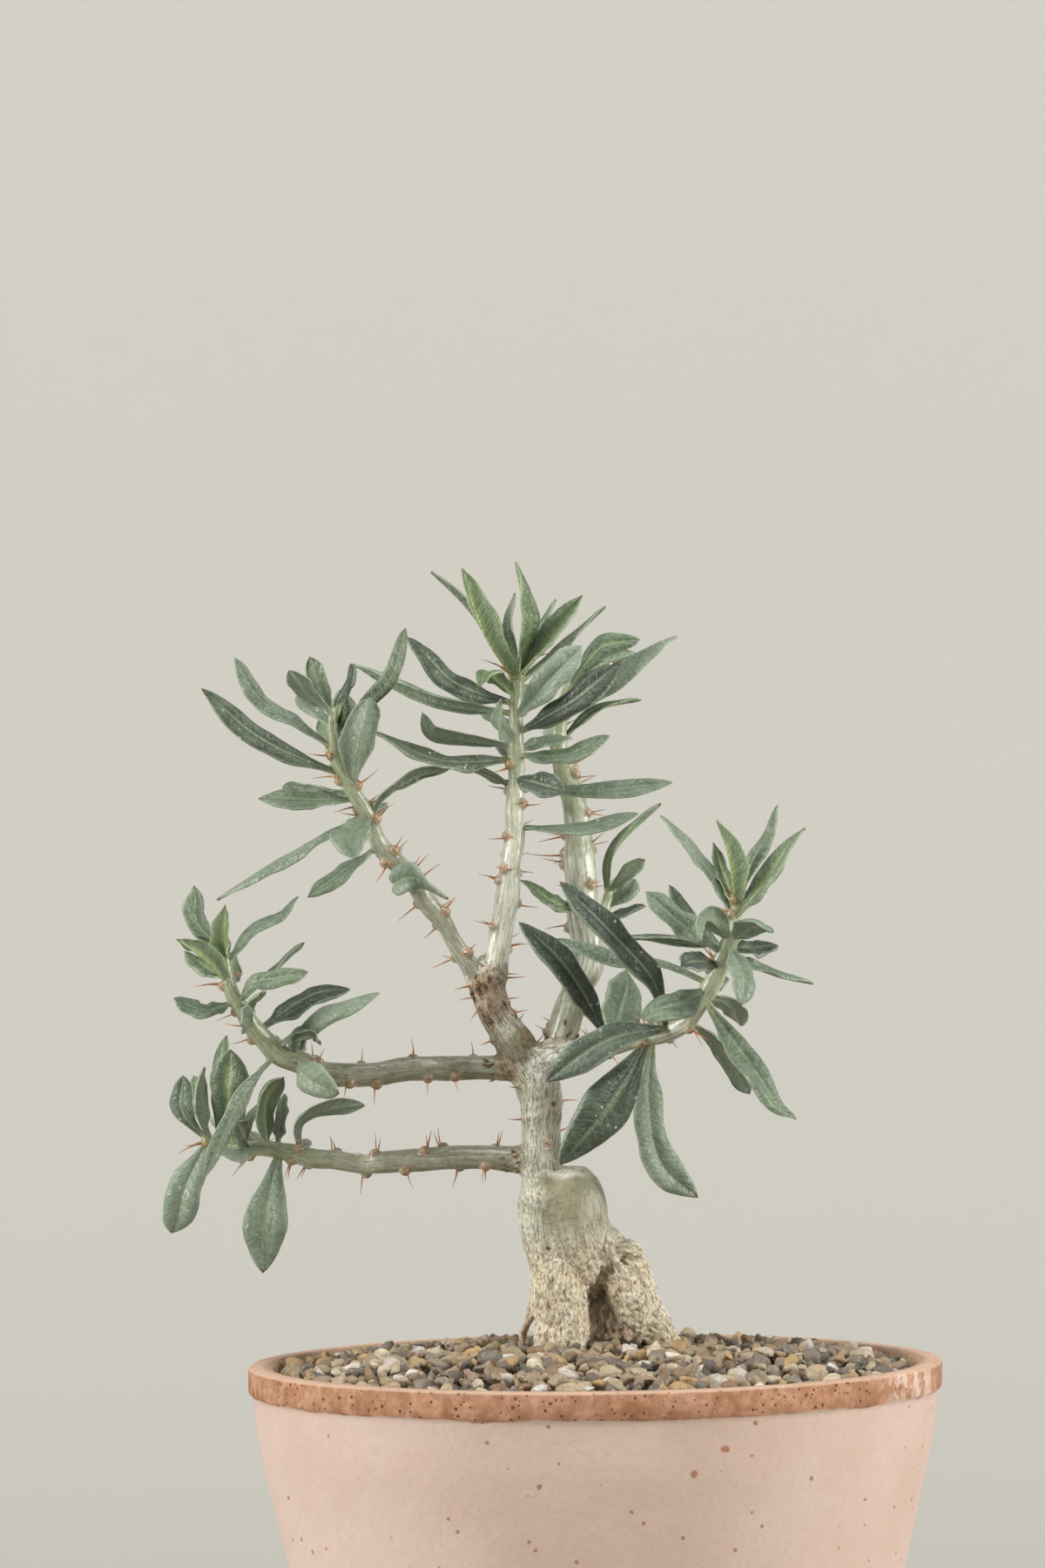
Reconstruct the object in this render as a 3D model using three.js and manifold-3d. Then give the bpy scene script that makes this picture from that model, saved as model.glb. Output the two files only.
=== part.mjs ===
// A Pachypodium bispinosum in a clay pot: a swollen, rooted trunk with six thorny,
// leafy branches, standing in gravel. Millimetres, +Z up. The origin is the centre
// of the pot's underside, +X is right and -Y is the front, the side it is seen from.

import * as THREE from 'three';
import { mergeVertices } from 'three/addons/utils/BufferGeometryUtils.js';
import Module from 'manifold-3d';

const wasm = await Module();
wasm.setup();

// The clear space kept between solids that touch
const GAP = 0.35;

// Pot
const POT_HEIGHT = 130;
const RIM_RADIUS = 75;
const RIM_BAND = 6;
const RIM_STEP = 0.9;
const BASE_RADIUS = 48;
const WALL = 5.2;
const FLOOR = 8;
const ARRIS = 0.8;
const DRAIN_RADIUS = 5;
const DRAIN_CIRCLE = 24;
const DRAIN_COUNT = 3;
const DRAIN_SIDES = 16;
const DRAIN_TURN = 0.25;
const POT_SIDES = 48;

// [radius, height] of the pot's wall where it swells, outside upwards and inside downwards
const OUTER_SWELL = [[66.5, 85], [70.8, 104], [72.9, 113.5]];
const INNER_SWELL = [[68.6, 113.5], [62.2, 85]];

// Soil and gravel. A stone's crown and the joints round it are shares of its height.
const SOIL_TOP = 121;
const GRAVEL_EDGE = 126.7;
const GRAVEL_CROWN = 133;
const GRAVEL_SEED = 7;
const STONE_PITCH = 7.2;
const STONE_HEIGHT = 3.6;
const STONE_JITTER = 0.45;
const LOWEST_CROWN = 0.35;
const HIGHEST_JOINT = -0.1;
const LOWEST_JOINT = -0.45;

// Plant
const STEM_SIDES = 7;
const TRUNK_SIDES = 11;
const SPINE_LENGTH = 5.6;
const SPINE_RADIUS = 0.45;
const SPINE_SIDES = 3;
const BACK_SPINES_EVERY = 3;
const BACK_SPINE_SPLAY = 0.45;
const BACK_SPINE_SWEEP = 0.6;
const BACK_SPINE_RISE = 0.4;
const RIB_THICKNESS = 1.2;
const SHORT_LEAF = 20;

// Shares of a leaf's length, and how wide and how thick it is there
const LEAF_STATIONS = [
  { at: 0, width: 0.26, thickness: 1.2 },
  { at: 0.16, width: 0.34, thickness: 1.15 },
  { at: 0.4, width: 0.88, thickness: 1 },
  { at: 0.64, width: 1, thickness: 0.9 },
  { at: 0.86, width: 0.66, thickness: 0.8 },
];
const SHORT_LEAF_STATIONS = [
  { at: 0, width: 0.28, thickness: 1.2 },
  { at: 0.32, width: 0.62, thickness: 1 },
  { at: 0.66, width: 1, thickness: 0.9 },
];

const FRONT = new THREE.Vector3(0, -1, 0);

// A repeatable source of numbers from 0 to 1
function seeded(seed) {
  let state = seed;
  return () => {
    state = (state * 1664525 + 1013904223) % 4294967296;
    return state / 4294967296;
  };
}

// Turns a closed three.js geometry into a solid that can be joined and cut
function solid(geometry) {
  const bare = geometry.clone();
  bare.deleteAttribute('normal');
  bare.deleteAttribute('uv');
  const merged = mergeVertices(bare, 1e-4);
  return new wasm.Manifold(new wasm.Mesh({
    numProp: 3,
    vertProperties: new Float32Array(merged.attributes.position.array),
    triVerts: new Uint32Array(merged.index.array),
  }));
}

// Keeps the main body: loose scraps go, and hollows that the joining sealed are filled
function mainBody(joined) {
  let largest = null;
  for (const body of joined.decompose()) {
    if (largest === null || body.volume() > largest.volume()) {
      largest = body;
    }
  }
  return largest;
}

function named(name, manifold, material) {
  const mesh = manifold.getMesh();
  const geometry = new THREE.BufferGeometry();
  geometry.setAttribute('position', new THREE.BufferAttribute(mesh.vertProperties, 3));
  geometry.setIndex(new THREE.BufferAttribute(mesh.triVerts, 1));
  geometry.computeVertexNormals();
  const part = new THREE.Mesh(geometry, material);
  part.name = name;
  return part;
}

function meshFrom(vertices, triangles) {
  const geometry = new THREE.BufferGeometry();
  const numbers = vertices.flatMap((v) => [v.x, v.y, v.z]);
  geometry.setAttribute('position', new THREE.Float32BufferAttribute(numbers, 3));
  geometry.setIndex(triangles.flat());
  return geometry;
}

function directions(points) {
  return points.map((_, i) => {
    const before = points[Math.max(i - 1, 0)];
    const after = points[Math.min(i + 1, points.length - 1)];
    return after.clone().sub(before).normalize();
  });
}

// Carries a side direction along a line without twisting it
function carry(side, direction) {
  return side.clone().addScaledVector(direction, -side.dot(direction)).normalize();
}

// A round, tapering limb through [x, y, z, radius] stations, with closed ends
function limb(stations, sides, extra = 0) {
  const centres = stations.map(([x, y, z]) => new THREE.Vector3(x, y, z));
  const along = directions(centres);
  const last = centres.length - 1;
  centres[0].addScaledVector(along[0], -extra);
  centres[last].addScaledVector(along[last], extra);
  const vertices = [];
  const triangles = [];
  let side = carry(FRONT, along[0]);
  centres.forEach((centre, i) => {
    side = carry(side, along[i]);
    const other = along[i].clone().cross(side);
    for (let k = 0; k < sides; k += 1) {
      const angle = (2 * Math.PI * k) / sides;
      const radius = stations[i][3] + extra;
      vertices.push(centre.clone()
        .addScaledVector(side, radius * Math.cos(angle))
        .addScaledVector(other, radius * Math.sin(angle)));
    }
  });
  for (let i = 0; i < last; i += 1) {
    for (let k = 0; k < sides; k += 1) {
      const a = i * sides + k;
      const b = i * sides + ((k + 1) % sides);
      triangles.push([a, b, b + sides], [a, b + sides, a + sides]);
    }
  }
  const start = vertices.push(centres[0].clone()) - 1;
  const end = vertices.push(centres[last].clone()) - 1;
  for (let k = 0; k < sides; k += 1) {
    const next = (k + 1) % sides;
    triangles.push([start, next, k], [end, last * sides + k, last * sides + next]);
  }
  return meshFrom(vertices, triangles);
}

// Where a stem passes closest to a place that is given as seen from the front
function seatOn(route, [x, z]) {
  let best = null;
  for (let i = 0; i + 1 < route.length; i += 1) {
    const [ax, ay, az] = route[i];
    const [bx, by, bz] = route[i + 1];
    const run = (bx - ax) ** 2 + (bz - az) ** 2;
    const share = THREE.MathUtils.clamp(((x - ax) * (bx - ax) + (z - az) * (bz - az)) / run, 0, 1);
    const centre = new THREE.Vector3(ax, ay, az).lerp(new THREE.Vector3(bx, by, bz), share);
    const distance = Math.hypot(centre.x - x, centre.z - z);
    if (best === null || distance < best.distance) {
      const growth = new THREE.Vector3(bx - ax, by - ay, bz - az).normalize();
      best = { centre, distance, growth };
    }
  }
  return best;
}

// One leaf. It grows from the stem near `from` [x, z], through the points `along` to
// its tip. `turn` is 0 where its upper face looks to the front and 180 where its
// underside does; `fold` is how far each half is folded up from flat, in degrees.
function leaf(from, along, width, turn, fold) {
  return { from, along, width, turn, fold };
}

function blade(route, { from, along, width, turn, fold }) {
  const seat = seatOn(route, from);
  const line = new THREE.CatmullRomCurve3(
    [seat.centre, ...along.map((point) => new THREE.Vector3(...point))], false, 'centripetal');
  const stations = line.getLength() < SHORT_LEAF ? SHORT_LEAF_STATIONS : LEAF_STATIONS;
  const centres = stations.map(({ at }) => line.getPointAt(at));
  const tip = line.getPointAt(1);
  const forward = directions([...centres, tip]);
  const middle = Math.floor(centres.length / 2);
  const facing = carry(FRONT, forward[middle]);
  const rising = forward[middle].clone().cross(facing);
  if (rising.dot(seat.growth) < 0) {
    rising.negate();
  }
  const angle = THREE.MathUtils.degToRad(turn);
  const upper = facing.multiplyScalar(Math.cos(angle)).addScaledVector(rising, Math.sin(angle));
  const vertices = [];
  const triangles = [];
  centres.forEach((centre, i) => {
    const share = stations[i];
    const face = carry(upper, forward[i]);
    const across = forward[i].clone().cross(face);
    const half = (width * share.width) / 2;
    const lift = half * Math.tan(THREE.MathUtils.degToRad(fold));
    const rib = (RIB_THICKNESS * share.thickness) / 2;
    vertices.push(
      centre.clone().addScaledVector(across, -half).addScaledVector(face, lift),
      centre.clone().addScaledVector(face, rib),
      centre.clone().addScaledVector(across, half).addScaledVector(face, lift),
      centre.clone().addScaledVector(face, -rib));
  });
  const point = vertices.push(tip) - 1;
  for (let i = 0; i + 1 < centres.length; i += 1) {
    const [left, top, right, under] = [0, 1, 2, 3].map((k) => i * 4 + k);
    triangles.push(
      [left, top, top + 4], [left, top + 4, left + 4],
      [top, right, top + 4], [right, right + 4, top + 4],
      [right, under, under + 4], [right, under + 4, right + 4],
      [under, left, under + 4], [left, left + 4, under + 4]);
  }
  const end = (centres.length - 1) * 4;
  for (let k = 0; k < 4; k += 1) {
    triangles.push([end + k, end + ((k + 1) % 4), point]);
  }
  triangles.push([0, 2, 1], [0, 3, 2]);
  return meshFrom(vertices, triangles);
}

// A spine from inside the stem to its point. All are about as long, so one that looks
// short from the front leans towards the viewer or away, by turns.
function spine(route, [x, z, tipX, tipZ], index) {
  const { centre } = seatOn(route, [x, z]);
  const seen = Math.hypot(tipX - x, tipZ - z);
  const lean = Math.sqrt(Math.max(SPINE_LENGTH ** 2 - seen ** 2, 0));
  const point = new THREE.Vector3(tipX, centre.y + (index % 2 ? lean : -lean), tipZ);
  return needle(centre, point);
}

function needle(root, point) {
  const length = root.distanceTo(point);
  const cone = new THREE.ConeGeometry(SPINE_RADIUS, length, SPINE_SIDES);
  cone.translate(0, length / 2, 0);
  const way = point.clone().sub(root).normalize();
  cone.applyQuaternion(new THREE.Quaternion().setFromUnitVectors(new THREE.Vector3(0, 1, 0), way));
  cone.translate(root.x, root.y, root.z);
  return cone;
}

// Pairs of spines along the side of a stem that faces away from the viewer
function backSpines(route, seed) {
  const random = seeded(seed);
  const needles = [];
  for (let i = 2; i + 1 < route.length; i += BACK_SPINES_EVERY) {
    const [x, y, z, radius] = route[i];
    const root = new THREE.Vector3(x, y, z);
    const sweep = (random() - 0.5) * 2 * BACK_SPINE_SWEEP;
    for (const apart of [-BACK_SPINE_SPLAY, BACK_SPINE_SPLAY]) {
      const rise = random() * BACK_SPINE_RISE;
      const way = new THREE.Vector3(Math.sin(sweep + apart), Math.cos(sweep + apart), rise);
      needles.push(needle(root, root.clone().addScaledVector(way.normalize(), radius + SPINE_LENGTH)));
    }
  }
  return needles;
}

// Every list below is drawn from the front. A limb's stations are [x, y, z, radius].
// A spine is [x, z] where it leaves its stem and [x, z] at its point.

// The trunk's limbs: swollen core and neck, legs, the fork on top and the knobs

// From the hub where the branches part, down the neck into the shoulder
const TRUNK_CORE = [
  [-13, 0, 196, 4.2], [-12, 0, 191, 4.9], [-11, 0, 186.5, 4.7], [-11, 0, 181.5, 4.3],
  [-11, 0, 177, 4.3], [-11, 0, 172, 4.5], [-10.5, 0.5, 167.5, 4.9], [-9, 1, 161, 4.9],
];

// Swollen shoulder, a dome round the foot of the neck
const SHOULDER = [
  [-8.5, 0, 171.5, 2.6], [-8, 0, 171, 5.3], [-8, 0, 170, 7.2], [-7.5, 0, 168, 8.7],
  [-7, 0, 165.5, 9.5], [-6.5, 0, 162.5, 9.8], [-6.5, 0, 160, 9.8], [-5.5, 1, 156.5, 9.6],
  [-4.5, 2, 153, 9.2], [-3.5, 3, 149.5, 8.1], [-2.5, 4, 147.5, 6],
];

// Straight leg on the left
const LEFT_LEG = [
  [-7.5, -1, 156, 6.6], [-7.5, -1.5, 150.5, 6.5], [-7.5, -2, 146.5, 6.3], [-7.5, -2, 143, 6.1],
  [-7, -2.5, 139.5, 5.8], [-7.5, -3, 134, 5.6], [-7.5, -3, 126, 4.5], [-8, -3, 116, 2.3],
];

// Leg that leans out to the right
const RIGHT_LEG = [
  [0.5, 0, 157, 4.5], [4, 0, 153, 4.8], [6, 0, 150, 5.1], [7.5, -0.5, 146.5, 5.3],
  [9, -1, 143, 5.1], [11, -1.5, 140, 4.4], [13, -2, 137.5, 3.7], [15.5, -2, 134.5, 2.6],
  [17.5, -2, 132, 2.1], [18.5, -2, 127, 1.9], [19.5, -2, 116.5, 1.1],
];

// Leg behind, which closes the hollow between the other two
const BACK_LEG = [
  [-2.5, 6, 153.5, 6.4], [0.5, 9, 147.5, 5.8], [2.5, 11, 142.5, 5.7], [3, 12.5, 138.5, 5.5],
  [3, 14, 134, 4.9], [3, 16, 127.5, 3.6], [3, 18, 114.5, 1.9],
];

// Thin root in the hollow between the legs
const THIN_ROOT = [
  [4, 1, 148, 1.5], [3.5, 2, 145.5, 1.1], [3, 2.5, 143, 0.9], [2, 3, 140.5, 0.8],
  [1.5, 3.5, 138, 0.8], [1, 4, 134, 0.9], [0.5, 4, 127.5, 0.9],
];

// Small root beside the left leg
const SIDE_ROOT = [
  [-12.5, 1, 143, 1.3], [-14, 2.5, 139, 0.9], [-15.5, 3, 136, 0.8], [-16, 3, 130.5, 0.8],
];

// Old stem up to where the two upper branches part
const FORK = [
  [-13, 0, 192.5, 4.7], [-16.5, 0, 199, 4.3], [-19, 0, 203, 3.8], [-21, -0.5, 206.5, 3.8],
  [-22, -1, 210, 3.8], [-23, -1, 213, 3.6], [-23, -1, 216, 2.5], [-23, -1, 217.5, 1.3],
];

// Short shoulder under the rear and right branches
const CROTCH = [
  [-13.5, 0, 194, 4.2], [-9.5, 0, 196, 3.8], [-7, 0, 197, 3.6], [-5, 0, 198, 2.6],
];

// Knob on the right leg
const KNOB = [
  [3.5, -1, 153.5, 2.6], [5.5, -2, 154, 2.6], [7.5, -3, 154.5, 2.5], [9.5, -3, 154, 1.5],
];

const TRUNK_SPINES = [
  [FORK, -26, 211.5, -29.5, 211],
  [FORK, -25, 208.5, -28.5, 208.5],
  [FORK, -24, 207.5, -26, 204.5],
  [FORK, -19.5, 208.5, -15.5, 209],
  [FORK, -17.5, 206, -13.5, 206.5],
  [FORK, -16.5, 203, -14.5, 205.5],
  [FORK, -19.5, 201, -24, 199],
  [FORK, -12.5, 198, -10, 201],
  [TRUNK_CORE, -15, 183, -18.5, 183],
  [TRUNK_CORE, -6.5, 186, -3, 186.5],
  [TRUNK_CORE, -15.5, 189.5, -18, 190],
  [TRUNK_CORE, -7, 179.5, -4.5, 181],
  [TRUNK_CORE, -10, 177.5, -9, 180],
];

// Upper left branch
const UPPER_LEFT_STEM = [
  [-22.5, -1, 210, 2.5], [-25, -1.5, 214.5, 2.3], [-27, -2, 217.5, 1.9], [-29.5, -2.5, 221.5, 1.7],
  [-31.5, -3.5, 225.5, 1.8], [-34, -4, 228.5, 2.1], [-36.5, -5, 232.5, 2.1], [-39, -5.5, 236, 1.9],
  [-42.5, -6, 239.5, 2.1], [-45, -6.5, 242.5, 1.9], [-46.5, -7.5, 246.5, 1.5],
  [-47.5, -8, 249, 1.5], [-50, -8.5, 253, 1.6], [-52, -9.5, 256.5, 1.5], [-54, -10, 260.5, 1.4],
  [-54.5, -10.5, 264, 1.1], [-55, -11, 268, 0.8], [-55, -11, 271.5, 0.6],
];

const UPPER_LEFT = {
  seed: 11,
  routes: [UPPER_LEFT_STEM],
  leaves: [
    [UPPER_LEFT_STEM, [
      leaf([-54, 256.5], [[-70, -14.5, 265.5], [-82.5, -16.5, 276.5]], 5.5, 35, 15),
      leaf([-56, 263], [[-63.5, -9.5, 269.5], [-70.5, -7.5, 274], [-76, -6.5, 283]], 4.5, 50, 15),
      leaf([-57, 271], [[-60.5, -16, 276], [-64, -20, 280.5]], 5, 130, 15),
      leaf([-56, 271.5], [[-57.5, -14, 277.5], [-59.5, -14, 283]], 5, 130, 20),
      leaf([-55.5, 271], [[-53, -7, 274.5], [-51, -5, 279], [-51.5, -4, 281.5]], 5, 60, 15),
      leaf([-56.5, 267.5], [[-60.5, -2, 273], [-63, 2, 275.5]], 4.5, 60, 15),
      leaf([-53, 263.5], [[-49.5, -8.5, 271], [-42.5, -9.5, 278.5], [-39, -8.5, 289]], 5, 120, 20),
      leaf([-49.5, 255], [[-49, -15.5, 265], [-46.5, -16.5, 274]], 8, 150, 30),
      leaf([-53, 265], [[-52, -1.5, 270.5], [-52.5, 2.5, 275.5]], 4.5, 65, 15),
      leaf([-52.5, 250.5], [[-62, -9.5, 252.5], [-71, -8.5, 253.5]], 5.5, 45, 15),
      leaf([-52, 253], [[-59.5, -1, 254], [-66, 3, 255.5]], 5, 115, 15),
      leaf([-51, 247.5], [[-63.5, -3, 240.5], [-80.5, 1, 231]], 5.5, 65, 15),
      leaf([-48.5, 248], [[-51.5, -19.5, 243.5], [-50, -24.5, 240]], 8, 25, 25),
      leaf([-46.5, 241.5], [[-53.5, -8.5, 236.5], [-60.5, -9.5, 231.5]], 5, 60, 15),
      leaf([-46, 249], [[-44.5, -8.5, 252.5], [-36.5, -6.5, 257.5], [-30.5, -5.5, 259]], 4.5, 115, 15),
      leaf([-38, 233], [[-42, -11, 234], [-37, -16, 235.5], [-30.5, -16, 231]], 6.5, 30, 20),
      leaf([-52, 256], [[-53, 5.5, 258.5], [-54, 17.5, 260]], 6, 130, 15),
      leaf([-54.5, 263], [[-56, 2.5, 267], [-57, 12.5, 270.5]], 6, 130, 15),
      leaf([-55, 267.5], [[-53.5, 0, 272.5], [-53, 8, 276.5]], 5, 125, 20),
      leaf([-48, 248], [[-46.5, 6.5, 250], [-45.5, 20.5, 249]], 6, 50, 15),
    ]],
  ],
  spines: [
    [-55.5, 262, -60.5, 262.5], [-53.5, 256.5, -59.5, 257], [-49, 256, -45, 259],
    [-47.5, 251, -45, 253.5], [-45, 248.5, -42, 251.5], [-51, 249.5, -55, 249.5],
    [-42, 241.5, -40, 244.5], [-41.5, 241, -39, 243.5], [-44.5, 238.5, -46, 234.5],
    [-37.5, 237, -36.5, 240], [-35.5, 236, -32, 238.5], [-38, 229, -41.5, 226],
    [-32.5, 227, -29, 230.5], [-31, 216.5, -34.5, 215.5], [-27.5, 218.5, -24.5, 221],
    [-33.5, 224.5, -36, 222],
  ],
};

// Middle branch, the tallest
const MIDDLE_STEM = [
  [-22, -1, 209, 2.8], [-20.5, -1, 216, 2.6], [-19.5, -1, 221.5, 2.5], [-18.5, -0.5, 227, 2.5],
  [-17.5, 0, 232.5, 2.5], [-17, 0, 238.5, 2.1], [-16, 1, 244, 2.1], [-16, 1, 249.5, 2],
  [-15.5, 1.5, 255.5, 1.7], [-15.5, 2, 261, 1.8], [-15.5, 2, 266.5, 1.6], [-15.5, 3, 272.5, 1.3],
  [-15, 3, 277, 1.1], [-14.5, 3, 281.5, 0.8],
];

const MIDDLE = {
  seed: 12,
  routes: [MIDDLE_STEM],
  leaves: [
    [MIDDLE_STEM, [
      leaf([-16, 277.5], [[-22, -2, 288], [-26.5, -2, 302]], 7, 120, 40),
      leaf([-16, 279], [[-25, 6, 293], [-33, 8, 302]], 5, 115, 20),
      leaf([-14, 280], [[-13, -4, 290.5], [-15, -5, 303]], 7, 50, 30),
      leaf([-15, 280], [[-17, 8, 291], [-15, 10, 296.5]], 4.5, 125, 15),
      leaf([-14, 280.5], [[-9, 9, 289.5], [-7, 12, 295.5]], 5, 55, 15),
      leaf([-13.5, 278], [[-7, -1, 287.5], [-1, -1, 296]], 6.5, 55, 35),
      leaf([-14, 277], [[-3.5, 10, 286.5], [4, 12, 294]], 5, 60, 15),
      leaf([-13.5, 266], [[-2.5, -5.5, 273.5], [7, -7.5, 281.5]], 6.5, 35, 15),
      leaf([-13.5, 269.5], [[-8.5, -4, 277], [-1.5, -5, 285]], 7, 30, 25),
      leaf([-17, 272.5], [[-29, -4, 277.5], [-38, -5, 287.5]], 6, 35, 15),
      leaf([-17, 270.5], [[-33, 7, 273.5], [-51, 11, 282]], 6, 125, 15),
      leaf([-16.5, 264.5], [[-20.5, -8.5, 269], [-18.5, -13.5, 273]], 7.5, 45, 30),
      leaf([-17, 263.5], [[-29, 4.5, 265.5], [-34, 5.5, 267], [-35.5, 5.5, 271]], 5, 120, 15),
      leaf([-17.5, 260.5], [[-32, -4.5, 260.5], [-47, -8.5, 267]], 6, 40, 15),
      leaf([-17, 254.5], [[-24.5, 5.5, 258.5], [-31, 8.5, 259.5]], 5, 115, 15),
      leaf([-14.5, 254.5], [[2.5, -1.5, 253.5], [18, -1.5, 255.5]], 5.5, 60, 15),
      leaf([-14.5, 256.5], [[-10, -8.5, 255], [-5, -12.5, 253.5]], 6.5, 45, 20),
      leaf([-13.5, 262.5], [[-8.5, 4.5, 264.5], [-3.5, 6.5, 265.5]], 5.5, 50, 15),
      leaf([-13.5, 261.5], [[-4, -5.5, 261.5], [4, -7.5, 266]], 5.5, 55, 15),
      leaf([-14.5, 246], [[-2, -3, 245.5], [10.5, -5, 248.5]], 5, 65, 15),
      leaf([-16, 274], [[-21.5, -5, 279], [-23.5, -9, 276.5]], 5.5, 135, 20),
      leaf([-16.5, 267.5], [[-20, 12, 269.5], [-23.5, 18, 271]], 5.5, 60, 15),
      leaf([-16, 250.5], [[-15, 13, 253.5], [-15, 26, 254.5]], 6, 130, 15),
      leaf([-15.5, 259], [[-17, 13.5, 262], [-17.5, 25.5, 263.5]], 6, 50, 15),
      leaf([-15, 269.5], [[-13.5, 13, 273], [-13, 24, 276.5]], 6, 130, 15),
      leaf([-15, 275], [[-16, 11, 281], [-17, 20, 285]], 5.5, 130, 20),
    ]],
  ],
  spines: [
    [-18, 244, -22, 243.5], [-14.5, 246, -12, 247.5], [-18, 237, -20.5, 237.5],
    [-15.5, 236, -12, 236], [-19.5, 234.5, -24, 236], [-15.5, 229.5, -11, 228.5],
    [-20.5, 224.5, -23.5, 226], [-17.5, 219.5, -14.5, 221], [-23, 215, -25.5, 217.5],
    [-17.5, 254, -22, 255], [-14.5, 251, -10, 251], [-16.5, 278.5, -23, 282.5],
    [-13.5, 281.5, -6.5, 284], [-18, 213, -15.5, 214], [-17, 259.5, -20.5, 258],
  ],
};

// Thick rear branch, with a side shoot low on its right
const REAR_STEM = [
  [-9, 2, 194.5, 3.2], [-7.5, 3, 197.5, 3.2], [-5.5, 4.5, 203.5, 3.4], [-3.5, 6.5, 209.5, 3],
  [-0.5, 8, 215.5, 3.4], [-0.5, 10, 221, 3.4], [-1.5, 11, 226.5, 3.4], [-1.5, 12.5, 232.5, 3.3],
  [-2, 14, 238, 3.4], [-2, 16, 243.5, 2.9], [-2.5, 17.5, 249.5, 2.7], [-3.5, 19.5, 254, 2.5],
  [-5, 20, 258, 2.3], [-6, 21, 262.5, 2], [-6, 21.5, 267.5, 1.6], [-5, 21.5, 273.5, 1.2],
  [-3.5, 22, 277, 0.8],
];

// Its side shoot
const REAR_SHOOT = [
  [-0.5, 10, 221, 1.5], [2, 12.5, 225, 1.4], [4, 15, 229, 1.2], [4.5, 16.5, 232, 0.8],
];

const REAR = {
  seed: 13,
  routes: [REAR_STEM, REAR_SHOOT],
  leaves: [
    [REAR_STEM, [
      leaf([-4.5, 275], [[3.5, 21, 285], [11.5, 20, 287]], 5.5, 45, 20),
      leaf([-3.5, 276], [[3.5, 28, 281.5], [11, 33, 284]], 5, 115, 15),
      leaf([-5, 268.5], [[8, 17, 279], [19, 16, 288]], 6.5, 45, 20),
      leaf([-5, 264.5], [[2.5, 23.5, 271.5], [12, 26.5, 273.5]], 5, 60, 15),
      leaf([-3.5, 274.5], [[0, 26, 279.5], [5.5, 31, 282.5]], 5, 115, 15),
      leaf([-3, 227], [[-9, 8.5, 230], [-14, 10.5, 235]], 5.5, 50, 15),
      leaf([-2, 239], [[-1.5, 27.5, 242], [-0.5, 41.5, 243.5]], 6, 130, 15),
      leaf([-3, 249.5], [[-4, 30.5, 251.5], [-5, 43.5, 253]], 6, 50, 15),
      leaf([-5.5, 260.5], [[-6.5, 30, 265], [-7, 42, 267.5]], 6, 130, 15),
      leaf([-5, 271.5], [[-3.5, 31, 277], [-2.5, 40, 280.5]], 5.5, 125, 20),
    ]],
    [REAR_SHOOT, [
      leaf([4, 229.5], [[5.5, 18, 240], [16, 20, 250.5]], 6, 65, 20),
      leaf([4, 231.5], [[8, 12, 235.5], [12, 10, 238.5]], 5, 65, 15),
      leaf([3.5, 227.5], [[8, 15.5, 231], [10, 17.5, 234.5]], 5, 55, 15),
      leaf([2.5, 225.5], [[7.5, 8.5, 226.5], [12, 5.5, 228.5]], 5, 60, 15),
      leaf([3.5, 228.5], [[6, 24, 231.5], [8, 32, 234]], 5, 125, 15),
    ]],
  ],
  spines: [
    [-4.5, 244, -11, 242.5], [-4.5, 237.5, -10, 239], [-5, 240, -13.5, 240], [-4, 232.5, -7, 233],
    [1, 232.5, 2.5, 234], [0.5, 241, 4.5, 242.5], [-1.5, 257.5, 2, 257], [-2.5, 259, 2, 262],
    [-4, 224, -10, 223.5], [-7, 202.5, -10.5, 204.5], [-7.5, 200.5, -12, 203],
    [-7, 200, -10.5, 201], [0, 248.5, 4, 249.5], [1.5, 217, 5, 219],
  ],
};

// Right branch, which comes forward
const RIGHT_STEM = [
  [-12.5, -2, 195.5, 3], [-7.5, -3, 196.5, 2.8], [-1.5, -5.5, 197.5, 2.5], [4, -8, 199, 2.4],
  [10.5, -11, 200.5, 2], [16, -14, 201.5, 1.9], [20.5, -16.5, 204, 1.8], [23.5, -19, 208.5, 1.8],
  [26, -20.5, 212.5, 1.9], [27.5, -21, 216, 1.9], [29, -21, 219.5, 1.9], [30.5, -21, 223, 1.6],
  [31, -21, 227, 1.2], [31.5, -21, 230, 0.8],
];

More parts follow.
